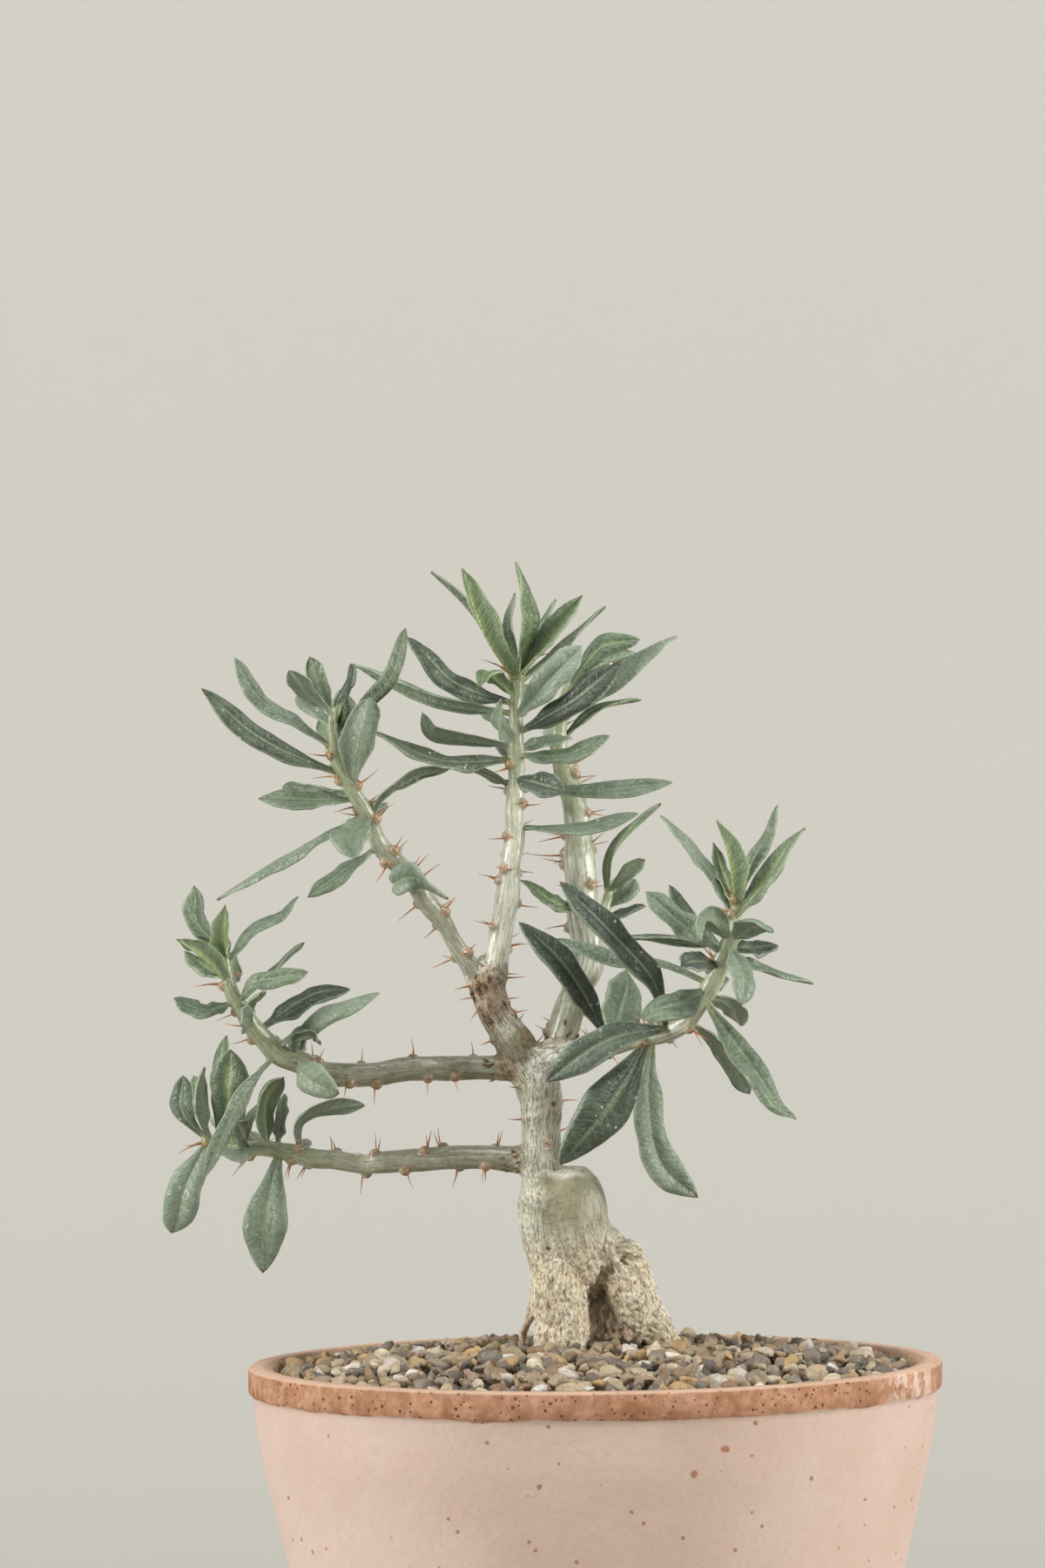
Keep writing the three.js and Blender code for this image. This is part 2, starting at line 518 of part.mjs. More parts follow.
const RIGHT = {
  seed: 14,
  routes: [RIGHT_STEM],
  leaves: [
    [RIGHT_STEM, [
      leaf([18, 202.5], [[3.5, -22.5, 200.5], [-10, -22.5, 192]], 7.5, 30, 15),
      leaf([25.5, 210.5], [[18, -27, 208], [10.5, -30, 206.5]], 7.5, 25, 15),
      leaf([4, 199], [[-4.5, -15, 214.5], [-14.5, -16, 226]], 7, 25, 15),
      leaf([16, 201.5], [[13, -20, 213], [4, -23, 223.5], [-6.5, -23, 234]], 7, 30, 15),
      leaf([26, 212], [[14, -18.5, 216.5], [3.5, -17.5, 218], [-7, -17.5, 222]], 5, 65, 15),
      leaf([4, 199], [[7, 0, 208], [9, 3, 214.5]], 10.5, 15, 15),
      leaf([12.5, 200.5], [[4.5, -20, 187.5], [-7, -19, 174]], 10.5, 15, 12),
      leaf([13, 200.5], [[12, -9, 185.5], [14.5, -7, 173.5], [22.5, -6, 165.5]], 8, 30, 15),
      leaf([24.5, 208.5], [[32.5, -24, 196.5], [39.5, -26, 186.5], [43.5, -26, 184.5]], 7, 30, 15),
      leaf([21, 204], [[27.5, -11, 198.5], [34, -7, 188]], 6, 120, 15),
      leaf([25, 209.5], [[30, -12, 207], [32.5, -6, 203]], 6, 135, 15),
      leaf([30.5, 220], [[32, -29, 213.5], [31.5, -32, 208]], 7, 40, 20),
      leaf([29.5, 218], [[40.5, -18, 213.5], [47.5, -17, 212]], 5, 65, 15),
      leaf([30.5, 221], [[35, -27, 224.5], [38.5, -31, 223.5]], 7, 140, 15),
      leaf([30, 219.5], [[36, -18, 219.5], [40, -16, 220.5]], 6, 50, 15),
      leaf([30, 221.5], [[24.5, -29, 226], [23, -34, 221.5]], 7.5, 150, 20),
      leaf([31.5, 225.5], [[26, -18, 235], [22, -17, 240.5], [15.5, -16, 248]], 5, 55, 15),
      leaf([31.5, 228], [[30, -25, 238], [27.5, -26, 247]], 6.5, 120, 35),
      leaf([31.5, 227.5], [[28.5, -16, 235], [26.5, -14, 242]], 5, 55, 15),
      leaf([31.5, 228.5], [[35, -19, 238], [38.5, -18, 244], [39, -17, 250]], 5.5, 55, 20),
      leaf([31.5, 226], [[38, -24, 234.5], [45, -25, 245.5]], 6.5, 45, 20),
      leaf([29, 218], [[18, -25, 226], [12, -26, 232]], 6.5, 50, 15),
      leaf([29, 219], [[21, -16, 226], [17, -13, 233]], 5, 60, 15),
      leaf([27.5, 216], [[22, -29, 217], [19, -34, 216.5]], 6, 45, 15),
      leaf([19, 202.5], [[17.5, -8.5, 201], [15.5, -3.5, 200]], 5, 70, 15),
      leaf([29.5, 220], [[13.5, -14, 222], [6, -12, 223]], 5, 120, 15),
      leaf([16, 201.5], [[17, -2, 203.5], [17.5, 9, 204]], 6, 130, 15),
      leaf([25, 210], [[26.5, -8, 212], [27.5, 4, 213]], 6, 50, 15),
      leaf([29, 219], [[29.5, -11, 223], [30.5, 0, 225]], 6, 130, 15),
      leaf([31.5, 224.5], [[31.5, -12, 230], [32, -4, 233]], 5.5, 130, 20),
    ]],
  ],
  spines: [
    [30, 227, 25.5, 229], [30.5, 229.5, 28, 233], [30.5, 230, 28, 234.5], [32.5, 228.5, 35, 231],
    [26, 216.5, 23, 221], [12.5, 202.5, 10, 206.5], [22, 203, 23.5, 199], [16, 200.5, 18.5, 198],
    [12, 199.5, 9.5, 198], [0, 199.5, -1.5, 202.5], [4, 197.5, 6, 194.5], [-2, 195.5, -3.5, 192.5],
  ],
};

// Long left branch
const LEFT_STEM = [
  [-15, 0, 194, 2.8], [-19.5, -0.5, 194, 2.6], [-26, -1, 194, 2.5], [-34, -3, 194, 2.6],
  [-40, -3.5, 194, 2.5], [-47, -5, 193, 2.5], [-52.5, -6, 193, 2.5], [-58, -7, 193.5, 2.5],
  [-63, -7.5, 196, 2.4], [-67, -8.5, 197.5, 2.3], [-70.5, -9, 201, 2.1], [-73, -10, 204, 2],
  [-75, -10.5, 207.5, 1.8], [-77, -11, 210.5, 1.6], [-78, -11, 214, 1.3], [-78.5, -11, 217.5, 1],
  [-79, -11, 221, 0.8],
];

const LEFT = {
  seed: 15,
  routes: [LEFT_STEM],
  leaves: [
    [LEFT_STEM, [
      leaf([-79, 220], [[-85, -11, 227], [-84.5, -10, 234]], 6, 40, 20),
      leaf([-79, 218.5], [[-78.5, -17, 224.5], [-78, -19, 230]], 6, 130, 30),
      leaf([-78, 213], [[-82.5, -15, 218.5], [-88.5, -17, 223]], 6, 120, 25),
      leaf([-78, 214], [[-83.5, -5, 216.5], [-87.5, -3, 220]], 5, 60, 15),
      leaf([-78.5, 216.5], [[-73, -8, 224.5], [-66.5, -6, 228], [-64, -5, 232]], 5, 60, 15),
      leaf([-76, 208.5], [[-73, -15, 213], [-66, -17, 214.5], [-61, -17, 216]], 5, 60, 15),
      leaf([-76, 209], [[-69, -6, 215], [-62, -4, 221.5]], 5, 70, 15),
      leaf([-76.5, 209], [[-83.5, -13, 207.5], [-89.5, -13, 210]], 5, 55, 15),
      leaf([-72, 202.5], [[-61.5, -6.5, 209.5], [-52.5, -5.5, 212.5]], 6.5, 45, 15),
      leaf([-68.5, 198.5], [[-57, -14, 206], [-45.5, -16, 210.5]], 6, 45, 15),
      leaf([-64.5, 196.5], [[-62, -13.5, 203], [-58, -15.5, 200.5]], 5, 120, 15),
      leaf([-64, 196], [[-63, -2, 201], [-62, 2, 203.5]], 5.5, 45, 15),
      leaf([-64, 196], [[-60.5, -15.5, 192.5], [-54.5, -18.5, 189.5]], 7.5, 30, 15),
      leaf([-73.5, 204], [[-74, -20.5, 206], [-74.5, -29.5, 205]], 6, 35, 15),
      leaf([-74.5, 205.5], [[-72, -16.5, 209.5], [-70.5, -22.5, 211.5]], 5, 110, 15),
      leaf([-68, 198], [[-75.5, -16, 188.5], [-79.5, -17, 180.5], [-83.5, -17, 172]], 5, 125, 15),
      leaf([-65.5, 197], [[-66.5, 2.5, 199], [-67.5, 15.5, 199.5]], 6, 130, 15),
      leaf([-72, 202.5], [[-73.5, 0.5, 205], [-75, 11.5, 206]], 6, 50, 15),
      leaf([-77.5, 212], [[-77.5, -2, 216], [-77.5, 7, 218.5]], 5.5, 130, 15),
      leaf([-78.5, 216.5], [[-79.5, -4, 222], [-80.5, 3, 224.5]], 5, 125, 20),
    ]],
  ],
  spines: [
    [-79.5, 212.5, -85.5, 212.5], [-77, 206.5, -81, 205], [-72.5, 201.5, -78, 200],
    [-59.5, 196, -60.5, 200], [-59, 196, -57.5, 199], [-49.5, 195, -49.5, 198.5],
    [-47, 191, -47, 186.5], [-38.5, 196, -39, 200.5], [-35.5, 192, -35.5, 188.5],
    [-25.5, 196.5, -26, 199.5], [-52.5, 191, -53.5, 188], [-62, 194, -64, 191],
    [-30, 192.5, -29, 189.5], [-69.5, 196.5, -72, 194.5],
  ],
};

// Low left branch
const LOW_STEM = [
  [-13.5, 0, 174, 2.6], [-16.5, 0, 174, 2.8], [-22.5, 0.5, 174.5, 2.5], [-30.5, 1.5, 174.5, 2.5],
  [-38, 3, 174, 2.4], [-45.5, 4, 173.5, 2.3], [-49.5, 5, 173, 2], [-55.5, 6, 174, 2],
  [-61, 6.5, 174.5, 2.1], [-65, 7.5, 175.5, 2], [-71, 8, 176.5, 1.6], [-74.5, 9, 176.5, 1.6],
  [-79, 9.5, 176.5, 1.4], [-82.5, 10, 178, 1.1], [-84.5, 10, 179, 0.8],
];

const LOW = {
  seed: 16,
  routes: [LOW_STEM],
  leaves: [
    [LOW_STEM, [
      leaf([-68, 176], [[-71, 2.5, 162.5], [-71.5, 2.5, 150]], 9, 15, 12),
      leaf([-83.5, 178.5], [[-89, 8, 167.5], [-91.5, 9, 158]], 8, 20, 15),
      leaf([-84, 179], [[-89, 8, 185], [-89, 9, 192.5]], 6, 50, 20),
      leaf([-83.5, 179], [[-84.5, 4, 187], [-84.5, 3, 194.5]], 6, 120, 25),
      leaf([-83.5, 178.5], [[-85.5, 15, 186.5], [-87, 18, 192]], 5, 65, 15),
      leaf([-81.5, 177.5], [[-81, 12, 191.5], [-80.5, 13, 201]], 5.5, 55, 15),
      leaf([-78.5, 177], [[-79, 8.5, 189.5], [-78.5, 8.5, 198]], 9, 25, 15),
      leaf([-71, 176.5], [[-71, 9.5, 187], [-67.5, 10.5, 192]], 6.5, 135, 15),
      leaf([-68.5, 176], [[-68, 15.5, 183.5], [-68, 19.5, 188]], 5, 55, 15),
      leaf([-63, 175.5], [[-63.5, 7.5, 182.5], [-55.5, 6.5, 185.5], [-49.5, 6.5, 186]], 5, 115, 15),
      leaf([-76, 176.5], [[-75, 16.5, 182.5], [-73, 21.5, 185.5]], 5, 65, 15),
      leaf([-75, 176.5], [[-76, 0, 180.5], [-77, -5, 183]], 5, 115, 15),
      leaf([-73.5, 176.5], [[-77.5, -3, 176], [-80, -10, 176.5]], 5, 60, 15),
      leaf([-65, 175.5], [[-64.5, 19, 176], [-64, 30, 176.5]], 6, 50, 15),
      leaf([-73.5, 176.5], [[-75, 20, 178.5], [-76, 32, 179]], 6, 130, 15),
      leaf([-79.5, 177], [[-81.5, 20, 179.5], [-83, 30, 181]], 6, 50, 15),
    ]],
  ],
  spines: [
    [-84, 178, -90.5, 175.5], [-74.5, 175, -78.5, 170.5], [-63.5, 176.5, -65, 180.5],
    [-62, 173, -63.5, 170], [-65.5, 173.5, -67, 170], [-49.5, 171.5, -50.5, 166.5],
    [-47, 175, -47, 180], [-32.5, 176.5, -33.5, 181], [-36, 176, -36, 179.5],
    [-29, 172.5, -30, 169], [-40.5, 172, -39, 168], [-21, 177, -19.5, 180],
    [-23, 172.5, -24, 169.5], [-55.5, 175.5, -57, 179],
  ],
};

// The whole trunk. `extra` makes it larger all round, which is how its hole in the
// gravel and soil, and the seats of the branches, are cut.
function trunkSolid(extra) {
  const limbs = [
    TRUNK_CORE, SHOULDER, LEFT_LEG, RIGHT_LEG, BACK_LEG, THIN_ROOT, SIDE_ROOT, FORK, CROTCH, KNOB,
  ];
  return mainBody(wasm.Manifold.union(
    limbs.map((stations) => solid(limb(stations, TRUNK_SIDES, extra)))));
}

function buildTrunk() {
  const spines = TRUNK_SPINES.map(([route, ...ends], i) => solid(spine(route, ends, i)));
  return mainBody(wasm.Manifold.union([trunkSolid(0), ...spines]));
}

// A leafy stem: the limb with its leaves and spines grown out of it
function buildBranch({ routes, leaves, spines, seed }, seat) {
  const pieces = routes.map((route) => solid(limb(route, STEM_SIDES)));
  for (const [route, grown] of leaves) {
    pieces.push(...grown.map((one) => solid(blade(route, one))));
  }
  spines.forEach((ends, i) => pieces.push(solid(spine(routes[0], ends, i))));
  pieces.push(...backSpines(routes[0], seed).map(solid));
  return mainBody(wasm.Manifold.union(pieces).subtract(seat));
}

// Half-sections of the pot as [radius, height], from the base up
function potOutline() {
  const outside = [
    [BASE_RADIUS - ARRIS, 0],
    [BASE_RADIUS, ARRIS],
    ...OUTER_SWELL,
    [RIM_RADIUS - RIM_STEP, POT_HEIGHT - RIM_BAND],
    [RIM_RADIUS, POT_HEIGHT - RIM_BAND + ARRIS],
    [RIM_RADIUS, POT_HEIGHT - ARRIS],
    [RIM_RADIUS - ARRIS, POT_HEIGHT],
  ];
  const inside = [
    [RIM_RADIUS - WALL + ARRIS, POT_HEIGHT],
    [RIM_RADIUS - WALL, POT_HEIGHT - ARRIS],
    ...INNER_SWELL,
    [BASE_RADIUS - WALL + 2 * ARRIS, FLOOR],
  ];
  return { outside, inside };
}

function turned(profile, sides) {
  const points = profile.map(([radius, height]) => new THREE.Vector2(radius, height));
  const geometry = new THREE.LatheGeometry(points, sides);
  geometry.rotateX(Math.PI / 2);
  return solid(geometry);
}

function buildPot() {
  const { outside, inside } = potOutline();
  let pot = turned([[0, 0], ...outside, ...inside, [0, FLOOR]], POT_SIDES);
  for (let i = 0; i < DRAIN_COUNT; i += 1) {
    const angle = (2 * Math.PI * (i + DRAIN_TURN)) / DRAIN_COUNT;
    const hole = new THREE.CylinderGeometry(DRAIN_RADIUS, DRAIN_RADIUS, FLOOR * 3, DRAIN_SIDES);
    hole.rotateX(Math.PI / 2);
    hole.translate(DRAIN_CIRCLE * Math.cos(angle), DRAIN_CIRCLE * Math.sin(angle), 0);
    pot = pot.subtract(solid(hole));
  }
  return pot;
}

// The pot's inner wall, seen from the fill, one gap away from the clay
function fillRadius(height) {
  const { inside } = potOutline();
  for (let i = 0; i + 1 < inside.length; i += 1) {
    const [upperRadius, upper] = inside[i];
    const [lowerRadius, lower] = inside[i + 1];
    if (height >= lower && height <= upper) {
      const share = (height - lower) / (upper - lower);
      return THREE.MathUtils.lerp(lowerRadius, upperRadius, share) - GAP;
    }
  }
  return inside[inside.length - 1][0] - GAP;
}

function buildSoil(trunkHole) {
  const low = FLOOR + GAP;
  const swell = INNER_SWELL.map(([radius, height]) => [radius - GAP, height]).reverse();
  const profile = [[0, low], [fillRadius(low), low], ...swell];
  profile.push([fillRadius(SOIL_TOP), SOIL_TOP], [0, SOIL_TOP]);
  return turned(profile, POT_SIDES).subtract(trunkHole);
}

function gravelHeight(radius) {
  const share = Math.min(radius / RIM_RADIUS, 1);
  return THREE.MathUtils.lerp(GRAVEL_CROWN, GRAVEL_EDGE, share * share);
}

// A slab whose top is packed stones, larger than life: every third corner of a grid of
// triangles is the crown of a stone, and the corners round it lie in the joints
function stonySlab(random) {
  const rows = Math.ceil(RIM_RADIUS / (STONE_PITCH * Math.sin(Math.PI / 3)));
  const columns = Math.ceil(RIM_RADIUS / STONE_PITCH) + 1;
  const across = 2 * columns + 1;
  const down = 2 * rows + 1;
  const top = [];
  for (let row = -rows; row <= rows; row += 1) {
    const odd = Math.abs(row % 2);
    for (let column = -columns; column <= columns; column += 1) {
      const step = column - (row - odd) / 2;
      const crown = (((step - row) % 3) + 3) % 3 === 0;
      const x = STONE_PITCH * (column + 0.5 * odd + STONE_JITTER * (random() - 0.5));
      const y = STONE_PITCH * (Math.sin(Math.PI / 3) * row + STONE_JITTER * (random() - 0.5));
      const [least, most] = crown ? [LOWEST_CROWN, 1] : [LOWEST_JOINT, HIGHEST_JOINT];
      const rise = THREE.MathUtils.lerp(least, most, random());
      top.push(new THREE.Vector3(x, y, gravelHeight(Math.hypot(x, y)) + STONE_HEIGHT * rise));
    }
  }
  const bottom = top.map(({ x, y }) => new THREE.Vector3(x, y, SOIL_TOP - GAP));
  const under = top.length;
  const triangles = [];
  for (let row = 0; row + 1 < down; row += 1) {
    const leansRight = Math.abs((row - rows) % 2) === 1;
    for (let column = 0; column + 1 < across; column += 1) {
      const a = row * across + column;
      const [b, c, d] = [a + 1, a + across, a + across + 1];
      const pair = leansRight ? [[a, b, d], [a, d, c]] : [[a, b, c], [b, d, c]];
      for (const [i, j, k] of pair) {
        triangles.push([i, j, k], [under + i, under + k, under + j]);
      }
    }
  }
  const edge = [];
  for (let column = 0; column + 1 < across; column += 1) {
    edge.push([column, column + 1], [(down - 1) * across + column + 1, (down - 1) * across + column]);
  }
  for (let row = 0; row + 1 < down; row += 1) {
    const start = row * across;
    edge.push([start + across - 1, start + 2 * across - 1], [start + across, start]);
  }
  for (const [i, j] of edge) {
    triangles.push([under + i, under + j, j], [under + i, j, i]);
  }
  return solid(meshFrom([...top, ...bottom], triangles));
}

function buildGravel(trunkHole) {
  const low = SOIL_TOP + GAP;
  const profile = [[0, low], [fillRadius(low), low], [fillRadius(GRAVEL_EDGE), GRAVEL_EDGE]];
  const high = POT_HEIGHT - ARRIS;
  profile.push([fillRadius(high), high], [0, GRAVEL_CROWN + 2 * STONE_HEIGHT]);
  const layer = turned(profile, POT_SIDES).intersect(stonySlab(seeded(GRAVEL_SEED)));
  return mainBody(layer.subtract(trunkHole));
}

const clay = new THREE.MeshStandardMaterial({ color: 0xe3bfae, roughness: 0.85, metalness: 0 });
const earth = new THREE.MeshStandardMaterial({ color: 0x6b5a49, roughness: 1, metalness: 0 });
const grit = new THREE.MeshStandardMaterial({ color: 0xa39887, roughness: 0.9, metalness: 0 });
const bark = new THREE.MeshStandardMaterial({ color: 0xc9bda4, roughness: 0.8, metalness: 0 });

function foliage(color) {
  return new THREE.MeshStandardMaterial({ color, roughness: 0.6, metalness: 0 });
}

const plant = new THREE.Group();
const trunkHole = trunkSolid(GAP);
plant.add(named('pot', buildPot(), clay));
plant.add(named('soil', buildSoil(trunkHole), earth));
plant.add(named('gravel', buildGravel(trunkHole), grit));
plant.add(named('trunk', buildTrunk(), bark));
plant.add(named('upper_left_branch', buildBranch(UPPER_LEFT, trunkHole), foliage(0x7f917f)));
plant.add(named('middle_branch', buildBranch(MIDDLE, trunkHole), foliage(0x81937d)));
plant.add(named('rear_branch', buildBranch(REAR, trunkHole), foliage(0x8a9a80)));
plant.add(named('right_branch', buildBranch(RIGHT, trunkHole), foliage(0x7b8d80)));
plant.add(named('left_branch', buildBranch(LEFT, trunkHole), foliage(0x80907c)));
plant.add(named('low_branch', buildBranch(LOW, trunkHole), foliage(0x7d8f7c)));

export default plant;
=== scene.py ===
"""Looks of a potted Pachypodium bispinosum: clay pot, grit, barky trunk and leafy, thorny stems."""

import math
import random

import bpy
import numpy as np
from mathutils import Matrix, Vector, noise


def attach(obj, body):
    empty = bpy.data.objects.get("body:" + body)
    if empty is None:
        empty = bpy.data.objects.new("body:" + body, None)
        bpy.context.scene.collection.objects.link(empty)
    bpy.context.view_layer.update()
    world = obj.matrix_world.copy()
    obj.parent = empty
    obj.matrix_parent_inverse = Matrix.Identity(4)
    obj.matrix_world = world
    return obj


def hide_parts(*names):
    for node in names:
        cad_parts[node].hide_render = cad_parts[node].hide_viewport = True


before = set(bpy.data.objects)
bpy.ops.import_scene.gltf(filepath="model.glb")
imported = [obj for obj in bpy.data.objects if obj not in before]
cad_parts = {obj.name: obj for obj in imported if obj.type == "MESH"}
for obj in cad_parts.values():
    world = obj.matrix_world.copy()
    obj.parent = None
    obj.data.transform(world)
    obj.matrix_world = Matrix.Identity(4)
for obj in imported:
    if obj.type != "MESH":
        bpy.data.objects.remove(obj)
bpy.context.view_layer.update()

MM = 0.001
FRONT = np.array((0.0, -1.0, 0.0))
RIGHTWARD = np.array((1.0, 0.0, 0.0))

# Pot, as in the solids
POT_HEIGHT = 130
RIM_RADIUS = 75
RIM_BAND = 6
RIM_STEP = 0.9
BASE_RADIUS = 48
WALL = 5.2
FLOOR = 8
ARRIS = 0.8
DRAIN_RADIUS = 5
DRAIN_CIRCLE = 24
DRAIN_COUNT = 3
# Where the first drain hole lies, as a share of the way to the next
DRAIN_TURN = 0.25
# Radius of the plain middle of the underside and the floor
PLAIN_MIDDLE = 12
OUTER_SWELL = ((66.5, 85), (70.8, 104), (72.9, 113.5))
INNER_SWELL = ((68.6, 113.5), (62.2, 85))
# The mesh's points round the pot, and how far apart its rings are
POT_SIDES = 280
POT_RING = 1.7

# Gravel: heights of its surface at the rim and in the middle, and of the bed of grit in it
GRAVEL_EDGE = 126.7
GRAVEL_CROWN = 133
BED_UNDERSIDE = 121.5
BED_DEPTH = 1.6
STONE_SPACING = 3.7
STONE_KINDS = 14

# Plant
SPINE_LENGTH = 5.6
NUB_WIDTH = 1.3
NUB_HEIGHT = 1.15
LEAF_THICKNESS = 0.5
LEAF_STATIONS = 46
# How fine the skins of stems and trunk are
STEM_SKIN = 0.3
TRUNK_SKIN = 0.39

# A leaf's width along its length, as shares of both: pointed, blunt and young ones
LEAF_OUTLINE = (
    (0, 0.2), (0.06, 0.2), (0.16, 0.36), (0.28, 0.63), (0.4, 0.86), (0.52, 0.97), (0.64, 1),
    (0.75, 0.92), (0.85, 0.71), (0.92, 0.48), (0.97, 0.25), (1, 0.06),
)
BLUNT_OUTLINE = (
    (0, 0.2), (0.06, 0.21), (0.16, 0.4), (0.28, 0.68), (0.4, 0.89), (0.52, 0.98), (0.64, 1),
    (0.76, 0.98), (0.85, 0.88), (0.91, 0.72), (0.955, 0.5), (0.985, 0.26), (1, 0.06),
)
YOUNG_OUTLINE = (
    (0, 0.3), (0.06, 0.32), (0.16, 0.5), (0.28, 0.75), (0.4, 0.94), (0.5, 1), (0.62, 0.97),
    (0.75, 0.8), (0.86, 0.52), (0.94, 0.26), (1, 0.04),
)
LEAF_ACROSS = (-1, -0.95, -0.84, -0.66, -0.45, -0.24, -0.09, 0, 0.09, 0.24, 0.45, 0.66, 0.84, 0.95, 1)

# Kinds of leaf as (how young, how old, how pale). Leaves of the shaded kind take most of the old
# leaves' darker colour as painted shade. The old kind is the old leaves' own darker colour, and
# painted shade too on some leaves that lie in shade. The pale kind is the pale leaves' own colour,
# and painted light on some leaves that lie in shade, on their undersides most of all.
YOUNG = (1, 0, 0)
FRESH = (0.62, 0, 0)
MATURE = (0, 0, 0)
PALE = (0, 0, 1)
SHADED = (0, 0.7, 0)
OLD_AND_SHADED = (0, 1, 0)


def leaf(root, along, width, turn, fold, kind):
    """A leaf from the stem near root (x, z) through the points along to its tip. Its turn is 0
    where the upper face looks to the front, and its fold is how far each half is folded up."""
    return {"root": root, "along": along, "width": width, "turn": turn, "fold": fold, "kind": kind}


# Every list below is drawn from the front, in millimetres, as in the solids. A limb's
# stations are (x, y, z, radius). A spine is (x, z) where it leaves its stem and (x, z) at
# its point.

# From the hub where the branches part, down the neck into the shoulder
TRUNK_CORE = [
    (-13, 0, 196, 4.2), (-12, 0, 191, 4.9), (-11, 0, 186.5, 4.7), (-11, 0, 181.5, 4.3),
    (-11, 0, 177, 4.3), (-11, 0, 172, 4.5), (-10.5, 0.5, 167.5, 4.9), (-9, 1, 161, 4.9),
]

# Swollen shoulder, a dome round the foot of the neck
SHOULDER = [
    (-8.5, 0, 171.5, 2.6), (-8, 0, 171, 5.3), (-8, 0, 170, 7.2), (-7.5, 0, 168, 8.7),
    (-7, 0, 165.5, 9.5), (-6.5, 0, 162.5, 9.8), (-6.5, 0, 160, 9.8), (-5.5, 1, 156.5, 9.6),
    (-4.5, 2, 153, 9.2), (-3.5, 3, 149.5, 8.1), (-2.5, 4, 147.5, 6),
]

# Straight leg on the left
LEFT_LEG = [
    (-7.5, -1, 156, 6.6), (-7.5, -1.5, 150.5, 6.5), (-7.5, -2, 146.5, 6.3), (-7.5, -2, 143, 6.1),
    (-7, -2.5, 139.5, 5.8), (-7.5, -3, 134, 5.6), (-7.5, -3, 126, 4.5), (-8, -3, 116, 2.3),
]

# Leg that leans out to the right
RIGHT_LEG = [
    (0.5, 0, 157, 4.5), (4, 0, 153, 4.8), (6, 0, 150, 5.1), (7.5, -0.5, 146.5, 5.3), (9, -1, 143, 5.1),
    (11, -1.5, 140, 4.4), (13, -2, 137.5, 3.7), (15.5, -2, 134.5, 2.6), (17.5, -2, 132, 2.1),
    (18.5, -2, 127, 1.9), (19.5, -2, 116.5, 1.1),
]

# Leg behind, which closes the hollow between the other two
BACK_LEG = [
    (-2.5, 6, 153.5, 6.4), (0.5, 9, 147.5, 5.8), (2.5, 11, 142.5, 5.7), (3, 12.5, 138.5, 5.5),
    (3, 14, 134, 4.9), (3, 16, 127.5, 3.6), (3, 18, 114.5, 1.9),
]

# Thin root in the hollow between the legs
THIN_ROOT = [
    (4, 1, 148, 1.5), (3.5, 2, 145.5, 1.1), (3, 2.5, 143, 0.9), (2, 3, 140.5, 0.8),
    (1.5, 3.5, 138, 0.8), (1, 4, 134, 0.9), (0.5, 4, 127.5, 0.9),
]

# Small root beside the left leg
SIDE_ROOT = [
    (-12.5, 1, 143, 1.3), (-14, 2.5, 139, 0.9), (-15.5, 3, 136, 0.8), (-16, 3, 130.5, 0.8),
]

# Old stem up to where the two upper branches part
FORK = [
    (-13, 0, 192.5, 4.7), (-16.5, 0, 199, 4.3), (-19, 0, 203, 3.8), (-21, -0.5, 206.5, 3.8),
    (-22, -1, 210, 3.8), (-23, -1, 213, 3.6), (-23, -1, 216, 2.5), (-23, -1, 217.5, 1.3),
]

# Short shoulder under the rear and right branches
CROTCH = [
    (-13.5, 0, 194, 4.2), (-9.5, 0, 196, 3.8), (-7, 0, 197, 3.6), (-5, 0, 198, 2.6),
]

# Knob on the right leg
KNOB = [
    (3.5, -1, 153.5, 2.6), (5.5, -2, 154, 2.6), (7.5, -3, 154.5, 2.5), (9.5, -3, 154, 1.5),
]

TRUNK_SPINES = [
    (FORK, -26, 211.5, -29.5, 211),
    (FORK, -25, 208.5, -28.5, 208.5),
    (FORK, -24, 207.5, -26, 204.5),
    (FORK, -19.5, 208.5, -15.5, 209),
    (FORK, -17.5, 206, -13.5, 206.5),
    (FORK, -16.5, 203, -14.5, 205.5),
    (FORK, -19.5, 201, -24, 199),
    (FORK, -12.5, 198, -10, 201),
    (TRUNK_CORE, -15, 183, -18.5, 183),
    (TRUNK_CORE, -6.5, 186, -3, 186.5),
    (TRUNK_CORE, -15.5, 189.5, -18, 190),
    (TRUNK_CORE, -7, 179.5, -4.5, 181),
    (TRUNK_CORE, -10, 177.5, -9, 180),
]

# Upper left branch
UPPER_LEFT_STEM = [
    (-22.5, -1, 210, 2.5), (-25, -1.5, 214.5, 2.3), (-27, -2, 217.5, 1.9), (-29.5, -2.5, 221.5, 1.7),
    (-31.5, -3.5, 225.5, 1.8), (-34, -4, 228.5, 2.1), (-36.5, -5, 232.5, 2.1), (-39, -5.5, 236, 1.9),
    (-42.5, -6, 239.5, 2.1), (-45, -6.5, 242.5, 1.9), (-46.5, -7.5, 246.5, 1.5), (-47.5, -8, 249, 1.5),
    (-50, -8.5, 253, 1.6), (-52, -9.5, 256.5, 1.5), (-54, -10, 260.5, 1.4), (-54.5, -10.5, 264, 1.1),
    (-55, -11, 268, 0.8), (-55, -11, 271.5, 0.6),
]

